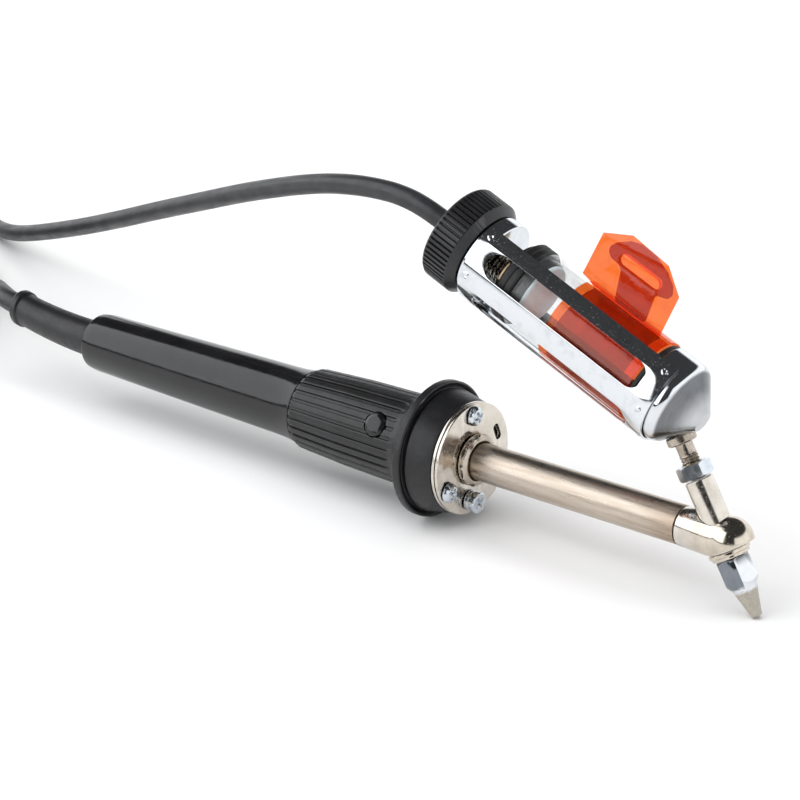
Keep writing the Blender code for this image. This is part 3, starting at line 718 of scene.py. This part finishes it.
def smooth_route(points, spacing):
    """A smooth curve through the route's points, read at even steps along its length."""
    route = [Vector(point) for point in points]
    route = [2 * route[0] - route[1]] + route + [2 * route[-1] - route[-2]]
    fine = []
    for a, b, c, d in zip(route, route[1:], route[2:], route[3:]):
        for i in range(16):
            t = i / 16
            fine.append(0.5 * (2 * b + (c - a) * t + (2 * a - 5 * b + 4 * c - d) * t ** 2
                               + (3 * b - a - 3 * c + d) * t ** 3))
    fine.append(route[-2])
    total = sum((q - p).length for p, q in zip(fine, fine[1:]))
    count = round(total / spacing)
    result = [fine[0]]
    walked = 0
    for p, q in zip(fine, fine[1:]):
        step = (q - p).length
        while len(result) < count and walked + step >= total * len(result) / count:
            share = (total * len(result) / count - walked) / step
            result.append(p.lerp(q, share))
        walked += step
    result.append(fine[-1])
    return result, total


def hose_mesh(points, radius, sides=24):
    """A round tube along points. Its "place" runs round it and along it, for the grain."""
    work = bmesh.new()
    place = work.verts.layers.float_vector.new("place")
    normal = UP
    walked = 0
    rings = []
    for i, point in enumerate(points):
        ahead = points[min(i + 1, len(points) - 1)] - points[max(i - 1, 0)]
        ahead.normalize()
        normal = (normal - ahead * normal.dot(ahead)).normalized()
        side = ahead.cross(normal)
        if i:
            walked += (point - points[i - 1]).length
        ring = []
        for k in range(sides):
            angle = TURN * k / sides
            out = normal * math.cos(angle) + side * math.sin(angle)
            vertex = work.verts.new(point + out * radius)
            vertex[place] = (radius * math.cos(angle), radius * math.sin(angle), walked)
            ring.append(vertex)
        rings.append(ring)
    for a, b in zip(rings, rings[1:]):
        for k in range(sides):
            work.faces.new((a[k], a[(k + 1) % sides], b[(k + 1) % sides], b[k]))
    for ring in (rings[0], rings[-1]):
        work.faces.new(ring)
    return mesh_of(work)


def cord_piece(name, lead, coil, turns, tail, radius, nodes, tie, end_pieces):
    """One cord from its exit to its far end, with its tie and the pieces of that end."""
    points, total = smooth_route(lead + coil_points(coil, radius, turns) + tail, CORD_STEP)
    item = piece(name, hose_mesh(points, radius), WORLD, CORD_RUBBER, nodes)
    tied = strap(coil, radius, *tie)
    end_pieces() + [tied]
    return item


def strap(coil, radius, name, angle, full, replaces):
    """A flat tie round the coil's bundle, with its lock.

    Where the bundle isn't full, its outer upper cord is missing and the tie slants over the rest.
    """
    centre, middle = coil
    low = COIL_LIFT
    high = low + 4 * radius + 0.1
    half = 3 * radius + 0.1
    at = polar(middle, angle)
    origin = (centre[0] + at.x, centre[1] + at.y, 0)
    place = basis(polar(1, angle), (0, 0, 1), polar(1, angle - 90), origin)

    def ring(gap, bottom, top, corner):
        reach = half + gap
        shoulder = [(reach, top)]
        if not full:
            shoulder = [(reach, low + 1.41 * radius + 0.4 * gap), (0.41 * radius + 0.4 * gap, top)]
        outline = [(reach, bottom)] + shoulder + [(-reach, top), (-reach, bottom)]
        return [tuple(point) for point in rounded(outline, corner, True, 8)]

    rings = [ring(0.9, low - 0.65, high + 0.75, 1.8), ring(0.35, low - 0.2, high + 0.3, 1.3)]
    band = plate(rings, -2.9, 2.9, 0.12)
    lock_height = (low + high) / 2 if full else low + 1.7
    lock = softened(block((1.1, 4.6, 5.4), (half + 0.35, lock_height, 0)), 0.25)
    return piece(name, joined([band, lock]), WORLD @ place, STRAP_BLACK, replaces)


def plug_pieces():
    shell = lathed(
        "plug_shell", PLUG, BLACK_SATIN, "plug_body",
        [(0, 34), (6.5, 34), (6.5, 25.8), (8.2, 25.8), (8.4, 25), (8.4, 10), (6.4, 4), (4.6, 0), (0, 0)],
        0.6, 144, step=0.8, low=8, high=25.4, rule=ribs(24, 0.55, 0.3, 10.5, 23.5, 1.5, 8))
    ring = lathed(
        "plug_lock_ring", PLUG, NICKEL, "plug_ring",
        [(8.7, 41), (9, 40.6), (9, 26.5), (8.7, 26.1), (6.9, 26.1), (6.9, 41)], 0.2, 144,
        step=0.5, low=27, high=34.5, rule=ribs(48, 0.3, 0.3, 27.4, 33.6, 0.6, 8.6))
    contacts = [turned([(0, 35.8), (6.4, 35.8), (6.4, 34.3), (0, 34.3)], 0.2, 96)]
    for number in range(5):
        pin = turned([(0, 40.2), (0.55, 40.2), (0.55, 35.4), (0, 35.4)], 0.4, 24)
        contacts.append(moved(pin, Matrix.Translation(polar(4.2, 72 * number))))
    return [shell, ring, piece("plug_contacts", joined(contacts), PLUG, BLACK_SATIN, "plug_insert")]


def fitting_pieces():
    body = lathed(
        "hose_coupling", FITTING, NICKEL, "hose_fitting",
        [(2.4, 22), (3, 21.2), (3, 18.6), (2.9, 18.3), (2.9, 16.8), (3, 16.5), (3, 13), (4.9, 13),
         (5, 12.6), (5, 4), (4.2, 2.6), (3.8, 0), (1.6, 0), (1.6, 22)], 0.2, 96,
        step=0.5, low=4.5, high=12.2, rule=ribs(28, 0.25, 0.35, 5.2, 11.6, 0.6, 4.7))
    seal = lathed(
        "coupling_seal", FITTING, SEAL_RUBBER, "fitting_o_ring",
        [(3.9, 18.3), (4.1, 17.9), (4.1, 17.2), (3.9, 16.8), (3.3, 16.8), (3.3, 18.3)], 0.4, 64)
    return [body, seal]


def cord_parts():
    cord_piece("mains_cable", CABLE_LEAD, CABLE_COIL, 5.5, CABLE_TAIL, CABLE_RADIUS,
        "power_cable cable_coil cable_tail",
        ("cable_strap", 200, True, "cable_tie"), plug_pieces)
    hose = cord_piece("suction_hose", HOSE_LEAD, HOSE_COIL, 5.25, HOSE_TAIL, HOSE_RADIUS,
        "vacuum_hose hose_coil hose_tail",
        ("hose_strap", 250, False, "hose_tie"), fitting_pieces)
    hose.parent = None
    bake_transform(hose)


# --- handle

def handle_parts():
    window_at = towards(polar(1, 90 - BUTTON_ELEVATION))
    shell = turned([(13, 22.6), (13, 17.5), (10.4, 17.5), (10.4, -30.9), (10.7, -31.1), (10.5, -32),
        (10.1, -34.2), (9.85, -37), (9.72, -41), (9.65, -46), (9.1, -78), (8.5, -110.5), (8.2, -113.2),
        (7.4, -114.1), (5.6, -114.1), (5.6, -111.5), (6.9, -111.5), (7.9, -45), (8.8, -22), (8.8, 12),
        (7.2, 16), (7.2, 22.6)], 0.7, 160)
    shell = combined(shell, [moved(rod(3.7, 5, 16), window_at)])
    piece("barrel", shell, TOOL, BLACK_GLOSS, "handle_shell")
    sleeve = turned([(12.6, 12.3), (12.9, 11.6), (12.9, 7.8), (12.6, 6), (12.2, -14), (11.4, -29.6),
        (10.9, -30.7), (10.7, -30.7), (10.7, 12.3)], 0.35, GRIP_RIBS * 16, step=1.2,
        low=-30, high=7, rule=ribs(GRIP_RIBS, 0.55, 0.2, -31.4, 6.4, 1.2, 10.85, 0.07))
    sleeve = combined(sleeve, [moved(rod(3.6, 5, 16), window_at)])
    piece("ribbed_grip", sleeve, TOOL, BLACK_SATIN, "grip_sleeve")
    lathed("finger_button", BUTTON, BLACK_GLOSS, "switch_button", [(0, 13.2), (2.1, 13.1),
        (2.9, 12.8), (3.3, 12.2), (3.3, 7), (4.4, 7), (4.4, 6.2), (0, 6.2)], 0.6, 96, body="button")
    lathed("rubber_guard", TOOL, RUBBER, "splash_guard", [(15.2, 22.5), (15.7, 20.6), (16.8, 15.4),
        (16.3, 14.5), (16.5, 13.8), (17.2, 13.9), (18.1, 14.7), (18.6, 14.4), (18.6, 12.6), (18.2, 12.2),
        (13.3, 12), (13.3, 12.7), (10.8, 12.7), (10.8, 17.2), (13.3, 17.2), (13.3, 22.5)], 0.3, 160)


def boot_parts():
    outline = [(6.5, -109), (6.5, -111.1), (5.3, -111.1), (5.3, BOOT_START), (5.4, -116), (5.25, -124),
        (5.1, -132), (4.95, -140), (4.85, -146.2), (5.4, -146.8), (5.4, -148.6), (5, BOOT_END),
        (3.45, BOOT_END), (3.45, -109)]
    boot = turned(outline, 0.5, 96, step=1.5)
    for vertex in boot.vertices:
        share = max(0, (BOOT_START - vertex.co.z) / (BOOT_START - BOOT_END))
        vertex.co.x += BOOT_RISE * share ** 2
        vertex.co.y -= BOOT_DRIFT * share ** 2
    piece("bend_relief", boot, TOOL, RUBBER, "cable_boot")


def screw_spot(angle):
    """The middle of a flange screw: the ground screw sits a little further in."""
    return polar(11.4 if angle == GROUND_ANGLE else 12.2, angle)


def flange_outlines(radius, tabbed):
    """A round plate with the tube's hole, the screw holes and a wiring slot."""
    if tabbed:
        rim = arc((0, 0), radius, -130, 190, 96) + [tuple(polar(16, 193)[:2]),
            tuple(polar(15.9, 218)[:2])]
    else:
        rim = circle((0, 0), radius, 112)
    outlines = [rim, circle((0, 0), 5.4, 64)]
    outlines += [circle(screw_spot(angle)[:2], 1.55, 24) for angle in SCREW_ANGLES]
    spin = Matrix.Rotation(math.radians(23), 4, "Z")
    centre = polar(11.3, -67)
    outlines.append([tuple(centre + spin @ Vector((*point, 0)))[:2] for point in stadium(4.9, 1.1)])
    return outlines


def cross_recess(top):
    """Two tapered cutters, one for each arm of the cross in a screw head."""
    arms = []
    for turn in (0, 90):
        work = bmesh.new()
        spin = Matrix.Rotation(math.radians(turn), 4, "Z")
        low = [(-0.9, -0.3), (0.9, -0.3), (0.9, 0.3), (-0.9, 0.3)]
        high = [(-2.1, -0.55), (2.1, -0.55), (2.1, 0.55), (-2.1, 0.55)]
        bottom = [work.verts.new(spin @ Vector((x, y, top - 1.35))) for x, y in low]
        upper = [work.verts.new(spin @ Vector((x, y, top + 0.62))) for x, y in high]
        work.faces.new(bottom)
        work.faces.new(upper)
        for i in range(4):
            j = (i + 1) % 4
            work.faces.new((bottom[i], bottom[j], upper[j], upper[i]))
        arms.append(mesh_of(work))
    return arms


def screw(name, outline, angle, spin, top, replaces):
    body = combined(turned(outline, 0.3, 64), cross_recess(top))
    place = Matrix.Translation(screw_spot(angle)) @ Matrix.Rotation(math.radians(spin), 4, "Z")
    piece(name, softened(moved(body, place), 0.05), TOOL, ZINC, replaces)


def flange_parts():
    piece("rear_flange", plate(flange_outlines(15.2, False), 22.9, 23.7), TOOL, NICKEL,
        "flange_plate_rear")
    piece("front_flange", plate(flange_outlines(15.15, True), 24, 24.8), TOOL, NICKEL,
        "flange_plate_front")
    pan = [(0, 26.9), (1.2, 26.8), (2, 26.5), (2.5, 26), (2.7, 25.4), (2.7, 25.1), (1.2, 25.1),
        (1.2, 18.5), (0, 18.5)]
    for number, (angle, spin) in enumerate(((0, 20), (120, 62), (240, 5)), start=1):
        screw(f"pan_screw_{number}", pan, angle, spin, 26.8, f"flange_screw_{number}")
    tall = [(0, 28.4), (2.6, 28.4), (2.9, 28.1), (2.9, 26.6), (2.65, 26.5), (2.65, 26.3), (2.9, 26.2),
        (2.9, 25.1), (1.2, 25.1), (1.2, 18.5), (0, 18.5)]
    screw("ground_screw", tall, GROUND_ANGLE, 33, 28.4, "earth_screw")
    spots = [(20 + 24 * i, 26.3) for i in range(15)]
    lathed("weld_collar", TOOL, AGED_NICKEL, "tube_collar", [(6, 27.6), (6.9, 26.9), (6.9, 25.1),
        (5.4, 25.1), (5.4, 27.6)], 0.45, 240, step=0.25, rule=dimples(spots, -0.3, 0.75, 6.3))


# --- heater and suction line

def heater_parts():
    spots = [(45 + 90 * i, 88.7) for i in range(4)]
    lathed("heater_pipe", TOOL, HEATER, "heater_tube", [(5.1, 91.1), (5.1, 19), (4.55, 19),
        (4.55, 91.1)], 0.12, 192, step=0.35, low=86, high=91, rule=dimples(spots, 0.35, 0.55, 5))
    centre = HEAD_X - BUTTON_X
    reach, radius = 1.9, 6
    ball = [(r, centre + h) for h, r in arc((reach, 0), radius, 0, 108, 40)]
    ball[0] = (0, centre + reach + radius)
    neck = [(5.6, 102.3), (5.52, 100.4), (5.2, 91.7), (5, 91.4)]
    head = lathe(ball + neck + [(3.6, 91.4), (3.6, 96.8), (0, 96.8)], 160)
    bore = seated(rod(3.8, -12, 12), SUCTION, TOOL)
    flat = seated(rod(9, -14, -2.7, 96), SUCTION, TOOL)
    head = softened(combined(head, [bore, flat]), 0.12)
    piece("pump_head", head, TOOL, HEAD_NICKEL, "heater_head")


def suction_parts():
    tip = -(AXIS_HEIGHT - 1.4 * math.cos(dive)) / math.sin(dive)
    lathed("riser", SUCTION, NICKEL, "suction_tube", [(3.45, 15.9), (3.65, 15.6), (3.65, -2.7),
        (1.9, -2.7), (1.9, 15.9)], 0.2, 96)
    lathed("seat_ring", SUCTION, HEAD_NICKEL, "nozzle_seat", [(5.2, -3), (5.4, -3.2), (5.4, -3.9),
        (4.9, -4.1), (4.9, -4.8), (2, -4.8), (2, -3)], 0.2, 128)
    nozzle = turned([(4.2, -5.1), (4.85, -5.7), (4.85, -11), (4, -12.1), (3.4, -12.9), (2.6, -15.6),
        (1.4, tip), (0.75, tip), (0.75, -17.5), (1.8, -12), (1.8, -5.1)], 0.2, 128)
    nozzle = combined(nozzle, [hex_prism(8.4, 9, -26, -4)], "INTERSECT")
    piece("desolder_nozzle", softened(nozzle, 0.1), SUCTION, NOZZLE, "nozzle", sharp=30)
    nut = turned([(3.9, 20), (4.62, 19.55), (4.62, 16.75), (3.9, 16.3), (3, 16.3), (2.8, 16.6),
        (2.8, 19.7), (3, 20)], 0.12, 128)
    nut = combined(nut, [hex_prism(8, 26, 15, 22)], "INTERSECT")
    piece("lock_nut", softened(nut, 0.1), SUCTION, ZINC, "jam_nut", sharp=30)
    lathed("threaded_nipple", SUCTION, AGED_NICKEL, "cap_nipple", [(2.2, 31.6), (2.5, 31.3),
        (2.5, 27.8), (3.5, 27.8), (3.85, 27.4), (3.85, 25.8), (3.4, 25.4), (2.25, 25.4), (2.25, 22.4),
        (2.5, 22.1), (2.5, 16.4), (2.3, 16.2), (1.2, 16.2), (1.2, 31.6)], 0.2, 72, step=0.1, low=16.4,
        high=22.2, rule=thread(0.8, 0.38, 16.4, 22.3, 2.3))


# --- solder collector

def cap_parts():
    cap = turned([(0, 83.2), (2.8, 83.2)] + arc((8.75, 74.6), 2.6, 49, 0, 16) + [(11.35, 67.8),
        (9.6, 67.8), (9.6, 74), (2, 81.2), (0, 81.2)], 0.4, 192)
    bore = seated(rod(2.8, 24, 36), SUCTION, COLLECTOR)
    seat = seated(rod(4.2, 22, 28.1), SUCTION, COLLECTOR)
    piece("end_cap", softened(combined(cap, [bore, seat]), 0.1), COLLECTOR, CAP, "front_cap")
    lathed("cap_seal", COLLECTOR, SEAL_RUBBER, "front_seal", [(11, 67.5), (11, 66.3), (6.5, 66.3),
        (6.5, 67.5)], 0.3, 128)


def peen_mark(angle, height, seed):
    """A spot where the sheet is punched into the ring under it: a lumpy little crater."""
    work = bmesh.new()
    bmesh.ops.create_grid(work, x_segments=14, y_segments=14, size=1.25)
    for vertex in list(work.verts):
        if vertex.co.length > 1.26:
            work.verts.remove(vertex)
    for vertex in work.verts:
        r = vertex.co.length
        theta = math.atan2(vertex.co.y, vertex.co.x)
        lump = 0.06 * math.sin(3 * theta + seed) + 0.05 * math.sin(5 * theta + 2.3 * seed + 2 * r)
        rim = math.exp(-((r - 0.62) / 0.26) ** 2)
        vertex.co.z = (0.26 + lump) * rim + 0.05 * math.exp(-(r / 0.22) ** 2) - 0.05
    bmesh.ops.solidify(work, geom=work.faces[:], thickness=0.12)
    mesh = mesh_of(work)
    for vertex in mesh.vertices:
        x, y, z = vertex.co
        vertex.co = polar(12.32 + z, angle + math.degrees(x / 12.3), height + y)
    return mesh


def cage_parts():
    outer, wall = 12.3, 0.6
    shell = lathe([(outer, 73.7), (outer, 11.8), (outer - wall, 11.8), (outer - wall, 73.7)], 256, True)
    opening = [(0, 0)] + arc((0, 0), 30, 224 - 360, 24, 12)
    cuts = [plate([opening], 5, 80, 0)]
    for angle in (60.7, 124, 187.3):
        outward = polar(1, angle)
        place = basis(UP, outward.cross(UP), outward, (0, 0, 42.75))
        cuts.append(moved(plate([stadium(52.1, 3.6)], 8, 16, 0), place))
    cage = softened(combined(shell, cuts), 0.2, 40)
    piece("chrome_cage", cage, COLLECTOR, CAGE, "collector_cage", sharp=40)
    marks = [peen_mark(angle, height, seed) for seed, (angle, height) in enumerate(((36, 13.7),
        (92, 13.7), (155, 13.7), (36, 71.6), (92, 71.6), (155, 71.6)))]
    piece("cage_punch_marks", joined(marks), COLLECTOR, CAGE, sharp=50)
    lathed("bush_ring", COLLECTOR, CHROME, "rear_bush", [(11, 15), (11.35, 14.7), (11.35, 10.8),
        (11, 10.5), (3.4, 10.5), (3.4, 15)], 0.25, 160)


def closure_parts():
    lathed("ribbed_knob", COLLECTOR, KNOB_BLACK, "knurled_knob", [(11.4, 10.2), (13.2, 8.1),
        (13.3, 7.9), (13.3, 7.6), (13.3, 0.7), (12.8, 0), (4.4, 0), (3.6, 0.8), (3.6, 6.1), (3.3, 6.1),
        (3.3, 10.2)], 0.2, KNOB_RIBS * 12, step=0.6, low=0.2, high=8,
        rule=ribs(KNOB_RIBS, 0.75, 0.24, 0.5, 7.95, 0.3, 12.2, 0.085), body="closure")
    lathed("pull_rod", COLLECTOR, DULL_BRASS, "plunger", [(9, 21.6), (9.5, 21.3), (9.5, 20.6),
        (3, 20.6), (3, 6.4), (1.2, 6.4), (1.2, 21.6)], 0.2, 128, body="closure")
    lathed("piston_seal", COLLECTOR, SEAL_RUBBER, "rear_seal", [(10.7, 26), (11, 25.6), (11, 24.3),
        (10.6, 24), (11, 23.7), (11, 22.3), (10.7, 21.9), (2, 21.9), (2, 26)], 0.25, 160, body="closure")
    first, last, turns = 15.65, 19.95, 4
    points = []
    for i in range(turns * 36 + 1):
        share = i / (turns * 36)
        lift = min(1, max(0, (share - 0.08) / 0.84))
        points.append(polar(4.3, 360 * turns * share, first + (last - first) * lift))
    spring = piece("return_spring", hose_mesh(points, 0.35, 12), COLLECTOR, SPRING, "plunger_spring")
    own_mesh(spring)


def arc_shell(inner, outer, low, high, start, end, count):
    """Part of a thin tube wall, closed, between two angles."""
    work = bmesh.new()
    rows = []
    for i in range(count + 1):
        angle = start + (end - start) * i / count
        rows.append([work.verts.new(polar(r, angle, z)) for r, z in ((outer, high), (outer, low), (inner,
            low), (inner, high))])
    for a, b in zip(rows, rows[1:]):
        for k in range(4):
            work.faces.new((a[k], a[(k + 1) % 4], b[(k + 1) % 4], b[k]))
    work.faces.new(rows[0])
    work.faces.new(rows[-1])
    return mesh_of(work)


def grip_parts():
    ear_angle = -8
    ring = arc_shell(11.18, 11.4, 39, 65.9, ear_angle + 3, ear_angle + 357, 160)
    liner = arc_shell(11, 11.12, 41.4, 63, ear_angle + 1, ear_angle + 190, 100)
    ear = [(41.5, 11.1), (62.8, 11.1), (62.5, 23), (56.2, 28.1), (44.2, 28.9), (36.8, 24.8), (36.8, 12.6),
        (40, 12.1)]
    slot = [(50 + x, 21.9 + y) for x, y in stadium(13.2, 1.6)]
    patch = [(50 + x, 21.9 + y) for x, y in stadium(13.6, 1.8)]
    tab = [(57.2, 11.2), (56.2, 19), (57.8, 19.6), (59.6, 20.2), (60.2, 21.8), (59.2, 23.8), (56.4, 25.8),
        (51.8, 27.6), (46.8, 27.8), (43.8, 26.7), (40.8, 24.4), (39.5, 22.5), (39.7, 21), (41.2, 19.9),
        (43.6, 19.8), (45, 18.8), (47.2, 11.2)]
    outward = polar(1, ear_angle)
    stand = basis(UP, outward, UP.cross(outward))
    near = moved(plate([ear, slot], 0.55, 0.85, 0.05), stand)
    middle = moved(plate([patch], -0.1, 0.15, 0.05), stand)
    far = moved(plate([[tuple(p) for p in rounded(tab, 1.3, True)], slot], -0.85, -0.55, 0.05), stand)
    piece("film_sleeve", ring, COLLECTOR, FILM, "heat_shield_grip", "collector_tube")
    piece("film_liner", liner, COLLECTOR, LINER_FILM, body="collector_tube")
    piece("film_ear", joined([near, middle]), COLLECTOR, FILM, body="collector_tube")
    piece("film_tab", far, COLLECTOR, TAB_FILM, body="collector_tube")


def tube_parts():
    lathed("glass_chamber", COLLECTOR, GLASS, "glass_tube", [(10.8, 66), (10.8, 26.3), (9.5, 26.3),
        (9.5, 66)], 0.35, 160, body="collector_tube")
    lathed("filter_band", COLLECTOR, SEAL_RUBBER, "filter_holder", [(9.2, 28.6), (9.2, 26.6),
        (6.5, 26.6), (6.5, 28.6)], 0.25, 128, body="collector_tube")
    lathed("felt_filter", COLLECTOR, FELT, "filter_pad", [(0, 29.8), (8.5, 29.8), (8.9, 29.4),
        (8.9, 28.7), (6.2, 28.7), (6.2, 27), (0, 27)], 0.3, 128, step=0.5, body="collector_tube")


# --- CAD parts that stay

def inner_finishes():
    """The parts inside the handle keep their CAD shape under a better finish."""
    finishes = {
        "switch_body": BLACK_SATIN, "cable_clamp": NICKEL, "terminal_board": BOARD,
        "lead_wire_1": WIRE_RED, "lead_wire_2": WIRE_RED, "element_lead_1": WIRE_WHITE,
        "element_lead_2": WIRE_WHITE, "heating_element": CERAMIC, "sensor_rod": NICKEL,
        "cable_inner_end": CORD_RUBBER}
    for name, material in finishes.items():
        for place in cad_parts[name].material_slots:
            place.link = "OBJECT"
            place.material = material


# --- studio

def camera():
    data = bpy.data.cameras.new("camera")
    data.sensor_width = 36.0
    data.lens = 121.5
    data.clip_start = 0.01
    data.clip_end = 50.0
    item = linked("camera", data)
    item.location = (0.44218, -0.5162, 0.29629)
    item.rotation_euler = (math.radians(68.2), 0.0, math.radians(39.45))
    SCENE.camera = item


def floor():
    work = bmesh.new()
    bmesh.ops.create_grid(work, x_segments=4, y_segments=4, size=8.0)
    mesh = mesh_of(work)
    item = linked("studio_floor", mesh)
    material = bpy.data.materials.new("studio_white")
    material.use_nodes = True
    shader = material.node_tree.nodes["Principled BSDF"]
    shader.inputs["Base Color"].default_value = (0.93, 0.93, 0.93, 1.0)
    shader.inputs["Roughness"].default_value = 0.9
    shader.inputs["Specular IOR Level"].default_value = 0.1
    mesh.materials.append(material)


def overhead_light():
    """A wide soft light over the table, which no surface mirrors."""
    data = bpy.data.lights.new("overhead", "AREA")
    data.shape = "RECTANGLE"
    data.size = data.size_y = 2.4
    data.energy = 31.0
    item = linked("overhead", data)
    item.location = (0.0, -0.1, 1.6)
    item.rotation_euler = (-item.location).to_track_quat("-Z", "Y").to_euler()
    item.visible_glossy = False
    item.visible_camera = False


def studio():
    """The surroundings: low white walls behind, a bright panel on the left, darkness above.

    The world's x, y and z are the direction a ray looks in.
    """
    g = Graph("studio")
    SCENE.world = g.owner
    x, y, z = g.add("SeparateXYZ", {0: g.add("TexCoord").outputs["Generated"]}).outputs

    def above(value, level, soft):
        """0 below a level and 1 above it, over a soft edge."""
        return g.span(value, level - soft, level + soft)

    def below(value, level, soft):
        return g.math("SUBTRACT", 1.0, above(value, level, soft))

    panel = below(x, -0.02, 0.05)
    for edge in (below(y, 0.05, 0.02), below(z, 0.812, 0.015), above(z, 0.07, 0.012)):
        panel = g.math("MULTIPLY", panel, edge)
    behind = g.math("MAXIMUM", above(g.math("MULTIPLY_ADD", x, 0.75, y), 0.0, 0.06), above(y, 0.05, 0.03))
    low = below(g.math("MULTIPLY_ADD", x, -0.13, z), 0.42, 0.06)
    wall = g.math("MULTIPLY", behind, low)
    light = g.math("MULTIPLY_ADD", panel, 2.1, 0.05)
    light = g.math("MULTIPLY_ADD", wall, 1.25, light)
    background = g.add("Background", {"Color": (0.97, 0.985, 1.0), "Strength": light})
    g.add("OutputWorld", {"Surface": background.outputs[0]})
    SCENE.view_settings.view_transform = "Standard"
    SCENE.cycles.transparent_max_bounces = 40


camera()
cord_parts()
handle_parts()
boot_parts()
flange_parts()
heater_parts()
suction_parts()
cap_parts()
cage_parts()
closure_parts()
tube_parts()
grip_parts()
inner_finishes()
floor()
studio()
overhead_light()
